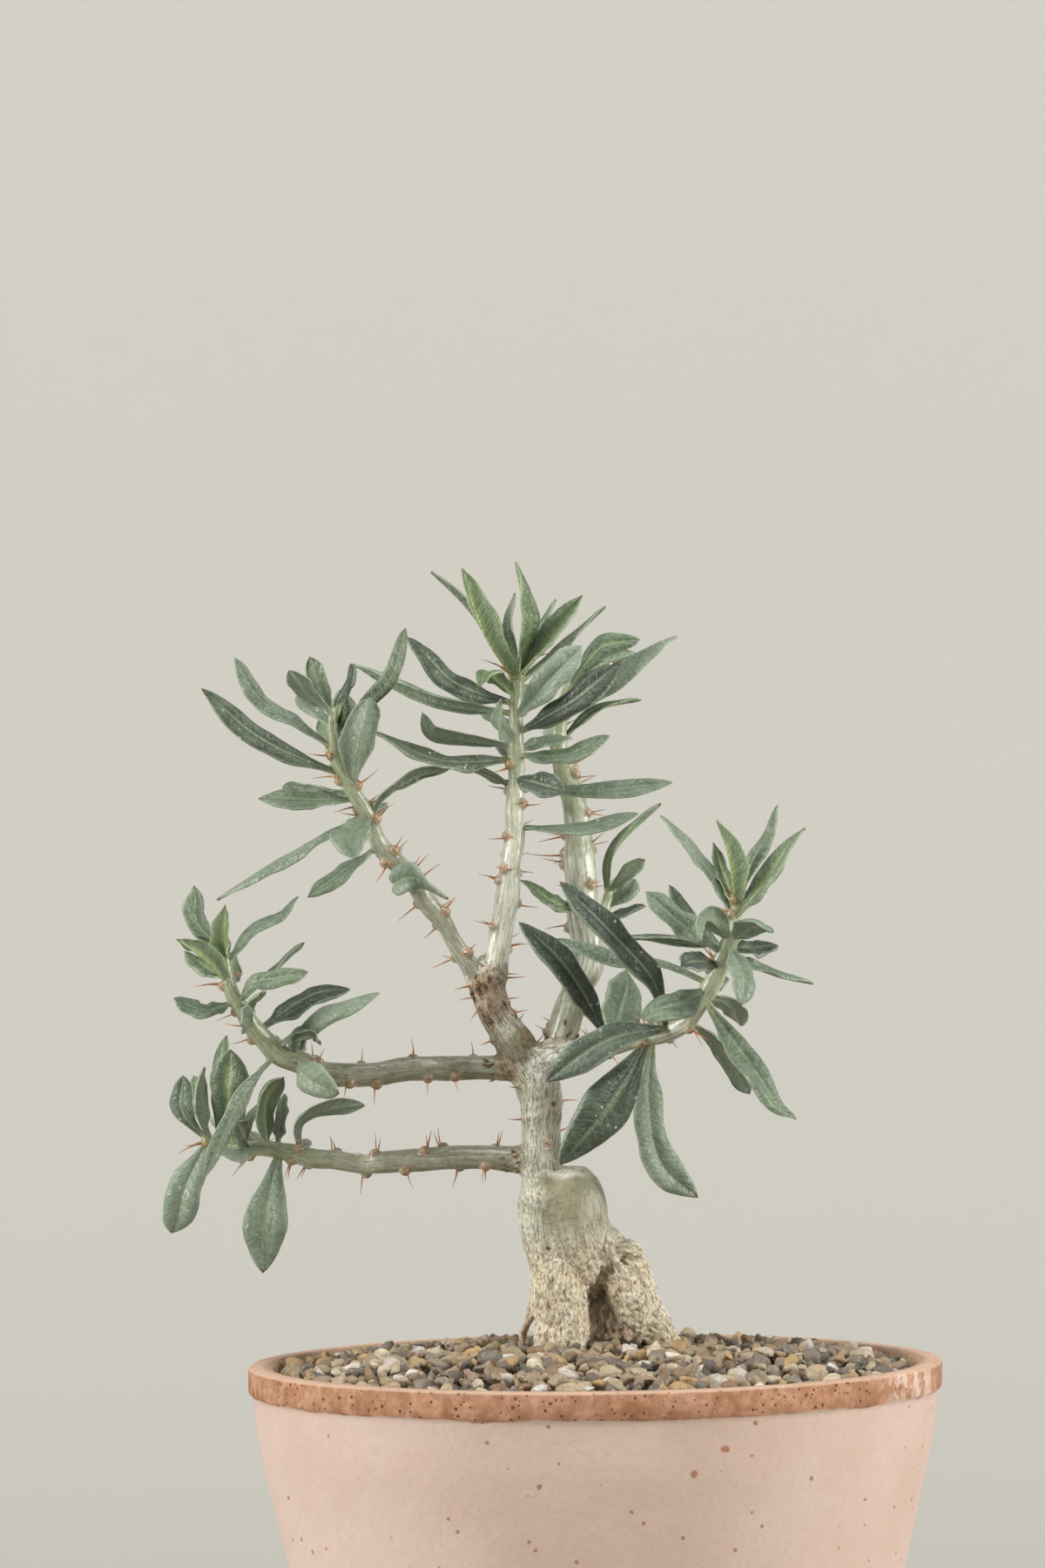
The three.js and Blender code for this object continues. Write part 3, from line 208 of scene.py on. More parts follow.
UPPER_LEFT = {
    "seed": 11,
    "routes": [UPPER_LEFT_STEM],
    "leaves": [(UPPER_LEFT_STEM, [
        leaf((-54, 256.5), [(-70, -14.5, 265.5), (-82.5, -16.5, 276.5)], 5.5, 35, 15, SHADED),
        leaf((-56, 263), [(-63.5, -9.5, 269.5), (-70.5, -7.5, 274), (-76, -6.5, 283)], 4.5, 50, 15, MATURE),
        leaf((-57, 271), [(-60.5, -16, 276), (-64, -20, 280.5)], 5, 130, 15, PALE),
        leaf((-56, 271.5), [(-57.5, -14, 277.5), (-59.5, -14, 283)], 5, 130, 20, MATURE),
        leaf((-55.5, 271), [(-53, -7, 274.5), (-51, -5, 279), (-51.5, -4, 281.5)], 5, 60, 15, OLD_AND_SHADED),
        leaf((-56.5, 267.5), [(-60.5, -2, 273), (-63, 2, 275.5)], 4.5, 60, 15, PALE),
        leaf((-53, 263.5), [(-49.5, -8.5, 271), (-42.5, -9.5, 278.5), (-39, -8.5, 289)],
             5, 120, 20, MATURE),
        leaf((-49.5, 255), [(-49, -15.5, 265), (-46.5, -16.5, 274)], 8, 150, 30, MATURE),
        leaf((-53, 265), [(-52, -1.5, 270.5), (-52.5, 2.5, 275.5)], 4.5, 65, 15, MATURE),
        leaf((-52.5, 250.5), [(-62, -9.5, 252.5), (-71, -8.5, 253.5)], 5.5, 45, 15, MATURE),
        leaf((-52, 253), [(-59.5, -1, 254), (-66, 3, 255.5)], 5, 115, 15, MATURE),
        leaf((-51, 247.5), [(-63.5, -3, 240.5), (-80.5, 1, 231)], 5.5, 65, 15, PALE),
        leaf((-48.5, 248), [(-51.5, -19.5, 243.5), (-50, -24.5, 240)], 8, 25, 25, MATURE),
        leaf((-46.5, 241.5), [(-53.5, -8.5, 236.5), (-60.5, -9.5, 231.5)], 5, 60, 15, MATURE),
        leaf((-46, 249), [(-44.5, -8.5, 252.5), (-36.5, -6.5, 257.5), (-30.5, -5.5, 259)],
             4.5, 115, 15, SHADED),
        leaf((-38, 233), [(-42, -11, 234), (-37, -16, 235.5), (-30.5, -16, 231)], 6.5, 30, 20, PALE),
        leaf((-52, 256), [(-53, 5.5, 258.5), (-54, 17.5, 260)], 6, 130, 15, FRESH),
        leaf((-54.5, 263), [(-56, 2.5, 267), (-57, 12.5, 270.5)], 6, 130, 15, FRESH),
        leaf((-55, 267.5), [(-53.5, 0, 272.5), (-53, 8, 276.5)], 5, 125, 20, YOUNG),
        leaf((-48, 248), [(-46.5, 6.5, 250), (-45.5, 20.5, 249)], 6, 50, 15, MATURE),
    ])],
    "spines": [
        (-55.5, 262, -60.5, 262.5), (-53.5, 256.5, -59.5, 257), (-49, 256, -45, 259),
        (-47.5, 251, -45, 253.5), (-45, 248.5, -42, 251.5), (-51, 249.5, -55, 249.5),
        (-42, 241.5, -40, 244.5), (-41.5, 241, -39, 243.5), (-44.5, 238.5, -46, 234.5),
        (-37.5, 237, -36.5, 240), (-35.5, 236, -32, 238.5), (-38, 229, -41.5, 226),
        (-32.5, 227, -29, 230.5), (-31, 216.5, -34.5, 215.5), (-27.5, 218.5, -24.5, 221),
        (-33.5, 224.5, -36, 222),
    ],
}

# Middle branch, the tallest
MIDDLE_STEM = [
    (-22, -1, 209, 2.8), (-20.5, -1, 216, 2.6), (-19.5, -1, 221.5, 2.5), (-18.5, -0.5, 227, 2.5),
    (-17.5, 0, 232.5, 2.5), (-17, 0, 238.5, 2.1), (-16, 1, 244, 2.1), (-16, 1, 249.5, 2),
    (-15.5, 1.5, 255.5, 1.7), (-15.5, 2, 261, 1.8), (-15.5, 2, 266.5, 1.6), (-15.5, 3, 272.5, 1.3),
    (-15, 3, 277, 1.1), (-14.5, 3, 281.5, 0.8),
]

MIDDLE = {
    "seed": 12,
    "routes": [MIDDLE_STEM],
    "leaves": [(MIDDLE_STEM, [
        leaf((-16, 277.5), [(-22, -2, 288), (-26.5, -2, 302)], 7, 120, 40, YOUNG),
        leaf((-16, 279), [(-25, 6, 293), (-33, 8, 302)], 5, 115, 20, SHADED),
        leaf((-14, 280), [(-13, -4, 290.5), (-15, -5, 303)], 7, 50, 30, YOUNG),
        leaf((-15, 280), [(-17, 8, 291), (-15, 10, 296.5)], 4.5, 125, 15, MATURE),
        leaf((-14, 280.5), [(-9, 9, 289.5), (-7, 12, 295.5)], 5, 55, 15, PALE),
        leaf((-13.5, 278), [(-7, -1, 287.5), (-1, -1, 296)], 6.5, 55, 35, YOUNG),
        leaf((-14, 277), [(-3.5, 10, 286.5), (4, 12, 294)], 5, 60, 15, MATURE),
        leaf((-13.5, 266), [(-2.5, -5.5, 273.5), (7, -7.5, 281.5)], 6.5, 35, 15, OLD_AND_SHADED),
        leaf((-13.5, 269.5), [(-8.5, -4, 277), (-1.5, -5, 285)], 7, 30, 25, PALE),
        leaf((-17, 272.5), [(-29, -4, 277.5), (-38, -5, 287.5)], 6, 35, 15, SHADED),
        leaf((-17, 270.5), [(-33, 7, 273.5), (-51, 11, 282)], 6, 125, 15, PALE),
        leaf((-16.5, 264.5), [(-20.5, -8.5, 269), (-18.5, -13.5, 273)], 7.5, 45, 30, MATURE),
        leaf((-17, 263.5), [(-29, 4.5, 265.5), (-34, 5.5, 267), (-35.5, 5.5, 271)], 5, 120, 15, MATURE),
        leaf((-17.5, 260.5), [(-32, -4.5, 260.5), (-47, -8.5, 267)], 6, 40, 15, SHADED),
        leaf((-17, 254.5), [(-24.5, 5.5, 258.5), (-31, 8.5, 259.5)], 5, 115, 15, OLD_AND_SHADED),
        leaf((-14.5, 254.5), [(2.5, -1.5, 253.5), (18, -1.5, 255.5)], 5.5, 60, 15, MATURE),
        leaf((-14.5, 256.5), [(-10, -8.5, 255), (-5, -12.5, 253.5)], 6.5, 45, 20, OLD_AND_SHADED),
        leaf((-13.5, 262.5), [(-8.5, 4.5, 264.5), (-3.5, 6.5, 265.5)], 5.5, 50, 15, PALE),
        leaf((-13.5, 261.5), [(-4, -5.5, 261.5), (4, -7.5, 266)], 5.5, 55, 15, MATURE),
        leaf((-14.5, 246), [(-2, -3, 245.5), (10.5, -5, 248.5)], 5, 65, 15, PALE),
        leaf((-16, 274), [(-21.5, -5, 279), (-23.5, -9, 276.5)], 5.5, 135, 20, YOUNG),
        leaf((-16.5, 267.5), [(-20, 12, 269.5), (-23.5, 18, 271)], 5.5, 60, 15, MATURE),
        leaf((-16, 250.5), [(-15, 13, 253.5), (-15, 26, 254.5)], 6, 130, 15, MATURE),
        leaf((-15.5, 259), [(-17, 13.5, 262), (-17.5, 25.5, 263.5)], 6, 50, 15, SHADED),
        leaf((-15, 269.5), [(-13.5, 13, 273), (-13, 24, 276.5)], 6, 130, 15, FRESH),
        leaf((-15, 275), [(-16, 11, 281), (-17, 20, 285)], 5.5, 130, 20, YOUNG),
    ])],
    "spines": [
        (-18, 244, -22, 243.5), (-14.5, 246, -12, 247.5), (-18, 237, -20.5, 237.5),
        (-15.5, 236, -12, 236), (-19.5, 234.5, -24, 236), (-15.5, 229.5, -11, 228.5),
        (-20.5, 224.5, -23.5, 226), (-17.5, 219.5, -14.5, 221), (-23, 215, -25.5, 217.5),
        (-17.5, 254, -22, 255), (-14.5, 251, -10, 251), (-16.5, 278.5, -23, 282.5),
        (-13.5, 281.5, -6.5, 284), (-18, 213, -15.5, 214), (-17, 259.5, -20.5, 258),
    ],
}

# Thick rear branch, with a side shoot low on its right
REAR_STEM = [
    (-9, 2, 194.5, 3.2), (-7.5, 3, 197.5, 3.2), (-5.5, 4.5, 203.5, 3.4), (-3.5, 6.5, 209.5, 3),
    (-0.5, 8, 215.5, 3.4), (-0.5, 10, 221, 3.4), (-1.5, 11, 226.5, 3.4), (-1.5, 12.5, 232.5, 3.3),
    (-2, 14, 238, 3.4), (-2, 16, 243.5, 2.9), (-2.5, 17.5, 249.5, 2.7), (-3.5, 19.5, 254, 2.5),
    (-5, 20, 258, 2.3), (-6, 21, 262.5, 2), (-6, 21.5, 267.5, 1.6), (-5, 21.5, 273.5, 1.2),
    (-3.5, 22, 277, 0.8),
]

# Its side shoot
REAR_SHOOT = [
    (-0.5, 10, 221, 1.5), (2, 12.5, 225, 1.4), (4, 15, 229, 1.2), (4.5, 16.5, 232, 0.8),
]

REAR = {
    "seed": 13,
    "routes": [REAR_STEM, REAR_SHOOT],
    "leaves": [(REAR_STEM, [
        leaf((-4.5, 275), [(3.5, 21, 285), (11.5, 20, 287)], 5.5, 45, 20, FRESH),
        leaf((-3.5, 276), [(3.5, 28, 281.5), (11, 33, 284)], 5, 115, 15, FRESH),
        leaf((-5, 268.5), [(8, 17, 279), (19, 16, 288)], 6.5, 45, 20, PALE),
        leaf((-5, 264.5), [(2.5, 23.5, 271.5), (12, 26.5, 273.5)], 5, 60, 15, FRESH),
        leaf((-3.5, 274.5), [(0, 26, 279.5), (5.5, 31, 282.5)], 5, 115, 15, PALE),
        leaf((-3, 227), [(-9, 8.5, 230), (-14, 10.5, 235)], 5.5, 50, 15, FRESH),
        leaf((-2, 239), [(-1.5, 27.5, 242), (-0.5, 41.5, 243.5)], 6, 130, 15, FRESH),
        leaf((-3, 249.5), [(-4, 30.5, 251.5), (-5, 43.5, 253)], 6, 50, 15, MATURE),
        leaf((-5.5, 260.5), [(-6.5, 30, 265), (-7, 42, 267.5)], 6, 130, 15, MATURE),
        leaf((-5, 271.5), [(-3.5, 31, 277), (-2.5, 40, 280.5)], 5.5, 125, 20, PALE),
    ]), (REAR_SHOOT, [
        leaf((4, 229.5), [(5.5, 18, 240), (16, 20, 250.5)], 6, 65, 20, FRESH),
        leaf((4, 231.5), [(8, 12, 235.5), (12, 10, 238.5)], 5, 65, 15, MATURE),
        leaf((3.5, 227.5), [(8, 15.5, 231), (10, 17.5, 234.5)], 5, 55, 15, PALE),
        leaf((2.5, 225.5), [(7.5, 8.5, 226.5), (12, 5.5, 228.5)], 5, 60, 15, OLD_AND_SHADED),
        leaf((3.5, 228.5), [(6, 24, 231.5), (8, 32, 234)], 5, 125, 15, MATURE),
    ])],
    "spines": [
        (-4.5, 244, -11, 242.5), (-4.5, 237.5, -10, 239), (-5, 240, -13.5, 240), (-4, 232.5, -7, 233),
        (1, 232.5, 2.5, 234), (0.5, 241, 4.5, 242.5), (-1.5, 257.5, 2, 257), (-2.5, 259, 2, 262),
        (-4, 224, -10, 223.5), (-7, 202.5, -10.5, 204.5), (-7.5, 200.5, -12, 203),
        (-7, 200, -10.5, 201), (0, 248.5, 4, 249.5), (1.5, 217, 5, 219),
    ],
}

# Right branch, which comes forward
RIGHT_STEM = [
    (-12.5, -2, 195.5, 3), (-7.5, -3, 196.5, 2.8), (-1.5, -5.5, 197.5, 2.5), (4, -8, 199, 2.4),
    (10.5, -11, 200.5, 2), (16, -14, 201.5, 1.9), (20.5, -16.5, 204, 1.8), (23.5, -19, 208.5, 1.8),
    (26, -20.5, 212.5, 1.9), (27.5, -21, 216, 1.9), (29, -21, 219.5, 1.9), (30.5, -21, 223, 1.6),
    (31, -21, 227, 1.2), (31.5, -21, 230, 0.8),
]

RIGHT = {
    "seed": 14,
    "routes": [RIGHT_STEM],
    "leaves": [(RIGHT_STEM, [
        leaf((18, 202.5), [(3.5, -22.5, 200.5), (-10, -22.5, 192)], 7.5, 30, 15, SHADED),
        leaf((25.5, 210.5), [(18, -27, 208), (10.5, -30, 206.5)], 7.5, 25, 15, MATURE),
        leaf((4, 199), [(-4.5, -15, 214.5), (-14.5, -16, 226)], 7, 25, 15, OLD_AND_SHADED),
        leaf((16, 201.5), [(13, -20, 213), (4, -23, 223.5), (-6.5, -23, 234)], 7, 30, 15, OLD_AND_SHADED),
        leaf((26, 212), [(14, -18.5, 216.5), (3.5, -17.5, 218), (-7, -17.5, 222)], 5, 65, 15, PALE),
        leaf((4, 199), [(7, 0, 208), (9, 3, 214.5)], 10.5, 15, 15, MATURE),
        leaf((12.5, 200.5), [(4.5, -20, 187.5), (-7, -19, 174)], 10.5, 15, 12, SHADED),
        leaf((13, 200.5), [(12, -9, 185.5), (14.5, -7, 173.5), (22.5, -6, 165.5)], 8, 30, 15, PALE),
        leaf((24.5, 208.5), [(32.5, -24, 196.5), (39.5, -26, 186.5), (43.5, -26, 184.5)],
             7, 30, 15, MATURE),
        leaf((21, 204), [(27.5, -11, 198.5), (34, -7, 188)], 6, 120, 15, PALE),
        leaf((25, 209.5), [(30, -12, 207), (32.5, -6, 203)], 6, 135, 15, PALE),
        leaf((30.5, 220), [(32, -29, 213.5), (31.5, -32, 208)], 7, 40, 20, PALE),
        leaf((29.5, 218), [(40.5, -18, 213.5), (47.5, -17, 212)], 5, 65, 15, PALE),
        leaf((30.5, 221), [(35, -27, 224.5), (38.5, -31, 223.5)], 7, 140, 15, MATURE),
        leaf((30, 219.5), [(36, -18, 219.5), (40, -16, 220.5)], 6, 50, 15, OLD_AND_SHADED),
        leaf((30, 221.5), [(24.5, -29, 226), (23, -34, 221.5)], 7.5, 150, 20, PALE),
        leaf((31.5, 225.5), [(26, -18, 235), (22, -17, 240.5), (15.5, -16, 248)], 5, 55, 15, PALE),
        leaf((31.5, 228), [(30, -25, 238), (27.5, -26, 247)], 6.5, 120, 35, YOUNG),
        leaf((31.5, 227.5), [(28.5, -16, 235), (26.5, -14, 242)], 5, 55, 15, YOUNG),
        leaf((31.5, 228.5), [(35, -19, 238), (38.5, -18, 244), (39, -17, 250)], 5.5, 55, 20, MATURE),
        leaf((31.5, 226), [(38, -24, 234.5), (45, -25, 245.5)], 6.5, 45, 20, YOUNG),
        leaf((29, 218), [(18, -25, 226), (12, -26, 232)], 6.5, 50, 15, PALE),
        leaf((29, 219), [(21, -16, 226), (17, -13, 233)], 5, 60, 15, PALE),
        leaf((27.5, 216), [(22, -29, 217), (19, -34, 216.5)], 6, 45, 15, OLD_AND_SHADED),
        leaf((19, 202.5), [(17.5, -8.5, 201), (15.5, -3.5, 200)], 5, 70, 15, FRESH),
        leaf((29.5, 220), [(13.5, -14, 222), (6, -12, 223)], 5, 120, 15, SHADED),
        leaf((16, 201.5), [(17, -2, 203.5), (17.5, 9, 204)], 6, 130, 15, PALE),
        leaf((25, 210), [(26.5, -8, 212), (27.5, 4, 213)], 6, 50, 15, OLD_AND_SHADED),
        leaf((29, 219), [(29.5, -11, 223), (30.5, 0, 225)], 6, 130, 15, FRESH),
        leaf((31.5, 224.5), [(31.5, -12, 230), (32, -4, 233)], 5.5, 130, 20, YOUNG),
    ])],
    "spines": [
        (30, 227, 25.5, 229), (30.5, 229.5, 28, 233), (30.5, 230, 28, 234.5), (32.5, 228.5, 35, 231),
        (26, 216.5, 23, 221), (12.5, 202.5, 10, 206.5), (22, 203, 23.5, 199), (16, 200.5, 18.5, 198),
        (12, 199.5, 9.5, 198), (0, 199.5, -1.5, 202.5), (4, 197.5, 6, 194.5), (-2, 195.5, -3.5, 192.5),
    ],
}

# Long left branch
LEFT_STEM = [
    (-15, 0, 194, 2.8), (-19.5, -0.5, 194, 2.6), (-26, -1, 194, 2.5), (-34, -3, 194, 2.6),
    (-40, -3.5, 194, 2.5), (-47, -5, 193, 2.5), (-52.5, -6, 193, 2.5), (-58, -7, 193.5, 2.5),
    (-63, -7.5, 196, 2.4), (-67, -8.5, 197.5, 2.3), (-70.5, -9, 201, 2.1), (-73, -10, 204, 2),
    (-75, -10.5, 207.5, 1.8), (-77, -11, 210.5, 1.6), (-78, -11, 214, 1.3), (-78.5, -11, 217.5, 1),
    (-79, -11, 221, 0.8),
]

LEFT = {
    "seed": 15,
    "routes": [LEFT_STEM],
    "leaves": [(LEFT_STEM, [
        leaf((-79, 220), [(-85, -11, 227), (-84.5, -10, 234)], 6, 40, 20, MATURE),
        leaf((-79, 218.5), [(-78.5, -17, 224.5), (-78, -19, 230)], 6, 130, 30, YOUNG),
        leaf((-78, 213), [(-82.5, -15, 218.5), (-88.5, -17, 223)], 6, 120, 25, YOUNG),
        leaf((-78, 214), [(-83.5, -5, 216.5), (-87.5, -3, 220)], 5, 60, 15, FRESH),
        leaf((-78.5, 216.5), [(-73, -8, 224.5), (-66.5, -6, 228), (-64, -5, 232)], 5, 60, 15, MATURE),
        leaf((-76, 208.5), [(-73, -15, 213), (-66, -17, 214.5), (-61, -17, 216)], 5, 60, 15, MATURE),
        leaf((-76, 209), [(-69, -6, 215), (-62, -4, 221.5)], 5, 70, 15, PALE),
        leaf((-76.5, 209), [(-83.5, -13, 207.5), (-89.5, -13, 210)], 5, 55, 15, MATURE),
        leaf((-72, 202.5), [(-61.5, -6.5, 209.5), (-52.5, -5.5, 212.5)], 6.5, 45, 15, OLD_AND_SHADED),
        leaf((-68.5, 198.5), [(-57, -14, 206), (-45.5, -16, 210.5)], 6, 45, 15, PALE),
        leaf((-64.5, 196.5), [(-62, -13.5, 203), (-58, -15.5, 200.5)], 5, 120, 15, SHADED),
        leaf((-64, 196), [(-63, -2, 201), (-62, 2, 203.5)], 5.5, 45, 15, SHADED),
        leaf((-64, 196), [(-60.5, -15.5, 192.5), (-54.5, -18.5, 189.5)], 7.5, 30, 15, PALE),
        leaf((-73.5, 204), [(-74, -20.5, 206), (-74.5, -29.5, 205)], 6, 35, 15, SHADED),
        leaf((-74.5, 205.5), [(-72, -16.5, 209.5), (-70.5, -22.5, 211.5)], 5, 110, 15, MATURE),
        leaf((-68, 198), [(-75.5, -16, 188.5), (-79.5, -17, 180.5), (-83.5, -17, 172)], 5, 125, 15, PALE),
        leaf((-65.5, 197), [(-66.5, 2.5, 199), (-67.5, 15.5, 199.5)], 6, 130, 15, PALE),
        leaf((-72, 202.5), [(-73.5, 0.5, 205), (-75, 11.5, 206)], 6, 50, 15, SHADED),
        leaf((-77.5, 212), [(-77.5, -2, 216), (-77.5, 7, 218.5)], 5.5, 130, 15, FRESH),
        leaf((-78.5, 216.5), [(-79.5, -4, 222), (-80.5, 3, 224.5)], 5, 125, 20, YOUNG),
    ])],
    "spines": [
        (-79.5, 212.5, -85.5, 212.5), (-77, 206.5, -81, 205), (-72.5, 201.5, -78, 200),
        (-59.5, 196, -60.5, 200), (-59, 196, -57.5, 199), (-49.5, 195, -49.5, 198.5),
        (-47, 191, -47, 186.5), (-38.5, 196, -39, 200.5), (-35.5, 192, -35.5, 188.5),
        (-25.5, 196.5, -26, 199.5), (-52.5, 191, -53.5, 188), (-62, 194, -64, 191),
        (-30, 192.5, -29, 189.5), (-69.5, 196.5, -72, 194.5),
    ],
}

# Low left branch
LOW_STEM = [
    (-13.5, 0, 174, 2.6), (-16.5, 0, 174, 2.8), (-22.5, 0.5, 174.5, 2.5), (-30.5, 1.5, 174.5, 2.5),
    (-38, 3, 174, 2.4), (-45.5, 4, 173.5, 2.3), (-49.5, 5, 173, 2), (-55.5, 6, 174, 2),
    (-61, 6.5, 174.5, 2.1), (-65, 7.5, 175.5, 2), (-71, 8, 176.5, 1.6), (-74.5, 9, 176.5, 1.6),
    (-79, 9.5, 176.5, 1.4), (-82.5, 10, 178, 1.1), (-84.5, 10, 179, 0.8),
]

LOW = {
    "seed": 16,
    "routes": [LOW_STEM],
    "leaves": [(LOW_STEM, [
        leaf((-68, 176), [(-71, 2.5, 162.5), (-71.5, 2.5, 150)], 9, 15, 12, MATURE),
        leaf((-83.5, 178.5), [(-89, 8, 167.5), (-91.5, 9, 158)], 8, 20, 15, PALE),
        leaf((-84, 179), [(-89, 8, 185), (-89, 9, 192.5)], 6, 50, 20, SHADED),
        leaf((-83.5, 179), [(-84.5, 4, 187), (-84.5, 3, 194.5)], 6, 120, 25, PALE),
        leaf((-83.5, 178.5), [(-85.5, 15, 186.5), (-87, 18, 192)], 5, 65, 15, FRESH),
        leaf((-81.5, 177.5), [(-81, 12, 191.5), (-80.5, 13, 201)], 5.5, 55, 15, FRESH),
        leaf((-78.5, 177), [(-79, 8.5, 189.5), (-78.5, 8.5, 198)], 9, 25, 15, FRESH),
        leaf((-71, 176.5), [(-71, 9.5, 187), (-67.5, 10.5, 192)], 6.5, 135, 15, FRESH),
        leaf((-68.5, 176), [(-68, 15.5, 183.5), (-68, 19.5, 188)], 5, 55, 15, PALE),
        leaf((-63, 175.5), [(-63.5, 7.5, 182.5), (-55.5, 6.5, 185.5), (-49.5, 6.5, 186)], 5, 115, 15, PALE),
        leaf((-76, 176.5), [(-75, 16.5, 182.5), (-73, 21.5, 185.5)], 5, 65, 15, MATURE),
        leaf((-75, 176.5), [(-76, 0, 180.5), (-77, -5, 183)], 5, 115, 15, SHADED),
        leaf((-73.5, 176.5), [(-77.5, -3, 176), (-80, -10, 176.5)], 5, 60, 15, PALE),
        leaf((-65, 175.5), [(-64.5, 19, 176), (-64, 30, 176.5)], 6, 50, 15, MATURE),
        leaf((-73.5, 176.5), [(-75, 20, 178.5), (-76, 32, 179)], 6, 130, 15, MATURE),
        leaf((-79.5, 177), [(-81.5, 20, 179.5), (-83, 30, 181)], 6, 50, 15, FRESH),
    ])],
    "spines": [
        (-84, 178, -90.5, 175.5), (-74.5, 175, -78.5, 170.5), (-63.5, 176.5, -65, 180.5),
        (-62, 173, -63.5, 170), (-65.5, 173.5, -67, 170), (-49.5, 171.5, -50.5, 166.5),
        (-47, 175, -47, 180), (-32.5, 176.5, -33.5, 181), (-36, 176, -36, 179.5),
        (-29, 172.5, -30, 169), (-40.5, 172, -39, 168), (-21, 177, -19.5, 180),
        (-23, 172.5, -24, 169.5), (-55.5, 175.5, -57, 179),
    ],
}

# Branches by the first words of their names
BRANCHES = {
    "upper_left": UPPER_LEFT,
    "middle": MIDDLE,
    "rear": REAR,
    "right": RIGHT,
    "left": LEFT,
    "low": LOW,
}
# How pale and silvery each stem is: the pale stems' own silvery colour, and on the darker stems painted
# shade
PALENESS = {"upper_left": 0.35, "middle": 1, "rear": 0.9, "right": 0.7, "left": 0.15, "low": 0.3}

# The left leg as it runs up inside the shoulder, without a crease between them
LEG_TOP = [(-8.2, 0.5, 163, 6.6), (-8.1, 0, 159.5, 6.95), (-7.8, -0.6, 156, 6.9), *LEFT_LEG[1:]]
# Bark that fills the hollow between the shoulder and the tops of the legs
LEG_WEB = [(-5.5, 0.4, 158, 8.2), (-4, 0.5, 154, 8), (-2.5, 0.8, 151, 7), (-1.2, 1, 148.6, 4.6)]
TRUNK_LIMBS = (
    TRUNK_CORE, SHOULDER, LEG_TOP, LEG_WEB, RIGHT_LEG, BACK_LEG, THIN_ROOT, SIDE_ROOT, FORK, CROTCH, KNOB,
)


# Curves and directions

def unit(vector):
    return vector / max(np.linalg.norm(vector), 1e-9)


def carry(side, direction):
    """Carries a side direction along a line without twisting it."""
    return unit(side - direction * np.dot(side, direction))


def beside(direction):
    """A first side direction for a line: towards the front, unless the line itself runs that way."""
    return FRONT if abs(np.dot(direction, FRONT)) < 0.9 else RIGHTWARD


def turned_about(vector, axis, degrees):
    angle = math.radians(degrees)
    return (vector * math.cos(angle) + np.cross(axis, vector) * math.sin(angle)
            + axis * np.dot(axis, vector) * (1 - math.cos(angle)))


def ease(value, low, high):
    """0 below low, 1 above high, smooth between them."""
    share = np.clip((value - low) / (high - low), 0, 1)
    return share * share * (3 - 2 * share)


def within(value, low, rise, high, fall):
    """1 from low + rise to high, 0 below low and above high + fall, smooth between them."""
    return ease(value, low, low + rise) * (1 - ease(value, high, high + fall))


def smooth_curve(points, per_span=20):
    """A centripetal Catmull-Rom curve through points, which may carry a radius too."""
    points = [np.asarray(p, float) for p in points]
    chain = [2 * points[0] - points[1], *points, 2 * points[-1] - points[-2]]
    curve = []
    for before, start, end, after in zip(chain, chain[1:], chain[2:], chain[3:]):
        gaps = [max(np.linalg.norm((b - a)[:3]) ** 0.5, 1e-4)
                for a, b in ((before, start), (start, end), (end, after))]
        leaving = ((start - before) / gaps[0] - (end - before) / (gaps[0] + gaps[1])) * gaps[1]
        leaving += end - start
        arriving = ((after - end) / gaps[2] - (after - start) / (gaps[1] + gaps[2])) * gaps[1]
        arriving += end - start
        for t in np.arange(per_span) / per_span:
            curve.append((2 * t**3 - 3 * t**2 + 1) * start + (t**3 - 2 * t**2 + t) * leaving
                         + (3 * t**2 - 2 * t**3) * end + (t**3 - t**2) * arriving)
    curve.append(points[-1])
    return np.array(curve)


def lengths_along(curve):
    steps = np.linalg.norm(np.diff(curve[:, :3], axis=0), axis=1)
    return np.concatenate(([0], np.cumsum(steps)))


def at_lengths(curve, wanted):
    gone = lengths_along(curve)
    return np.stack([np.interp(wanted, gone, column) for column in curve.T], axis=1)


def headings(points):
    ahead = np.vstack((points[1:], points[-1:]))
    behind = np.vstack((points[:1], points[:-1]))
    steps = ahead - behind
    return steps / np.linalg.norm(steps, axis=1)[:, None]


def sides_along(forward):
    """A side direction at each point of a line, carried from its start."""
    side = beside(forward[0])
    sides = []
    for direction in forward:
        side = carry(side, direction)
        sides.append(side)
    return np.array(sides)


def circle(count):
    """The angles of count points spread evenly round a circle."""
    return np.arange(count) * 2 * math.pi / count


def seat_on(route, root):
    """Where a stem passes closest to root (x, z), as the front sees it: centre, way and radius."""
    nearest = None
    for start, end in zip(route, route[1:]):
        start, end = np.array(start, float), np.array(end, float)
        run = (end - start)[[0, 2]]
        share = np.dot(np.array(root) - start[[0, 2]], run) / np.dot(run, run)
        spot = start + (end - start) * min(max(share, 0), 1)
        away = math.hypot(spot[0] - root[0], spot[2] - root[1])
        if nearest is None or away < nearest[0]:
            nearest = (away, spot[:3], unit((end - start)[:3]), spot[3])
    return nearest[1:]


def seat_centre(route, point):
    """The stem's centre nearest to a point in space."""
    stations = smooth_curve(route)[:, :3]
    return stations[np.argmin(np.linalg.norm(stations - point, axis=1))]


# Skins, as (points, faces) in millimetres

# A limb ends in a ring of half its radius, which stands out from it by 0.7 of that radius
END_OUT = 0.7
END_WIDTH = 0.5
RING_STEP = 1.2


def joined(skins):
    """Several skins as one, with their per-point values."""
    points, faces, values, first = [], [], [], 0
    for skin_points, skin_faces, *rest in skins:
        points.append(skin_points)
        faces += [tuple(first + k for k in face) for face in skin_faces]
        values.append(rest)
        first += len(skin_points)
    columns = [np.concatenate(column) for column in zip(*values)]
    return np.concatenate(points), faces, *columns


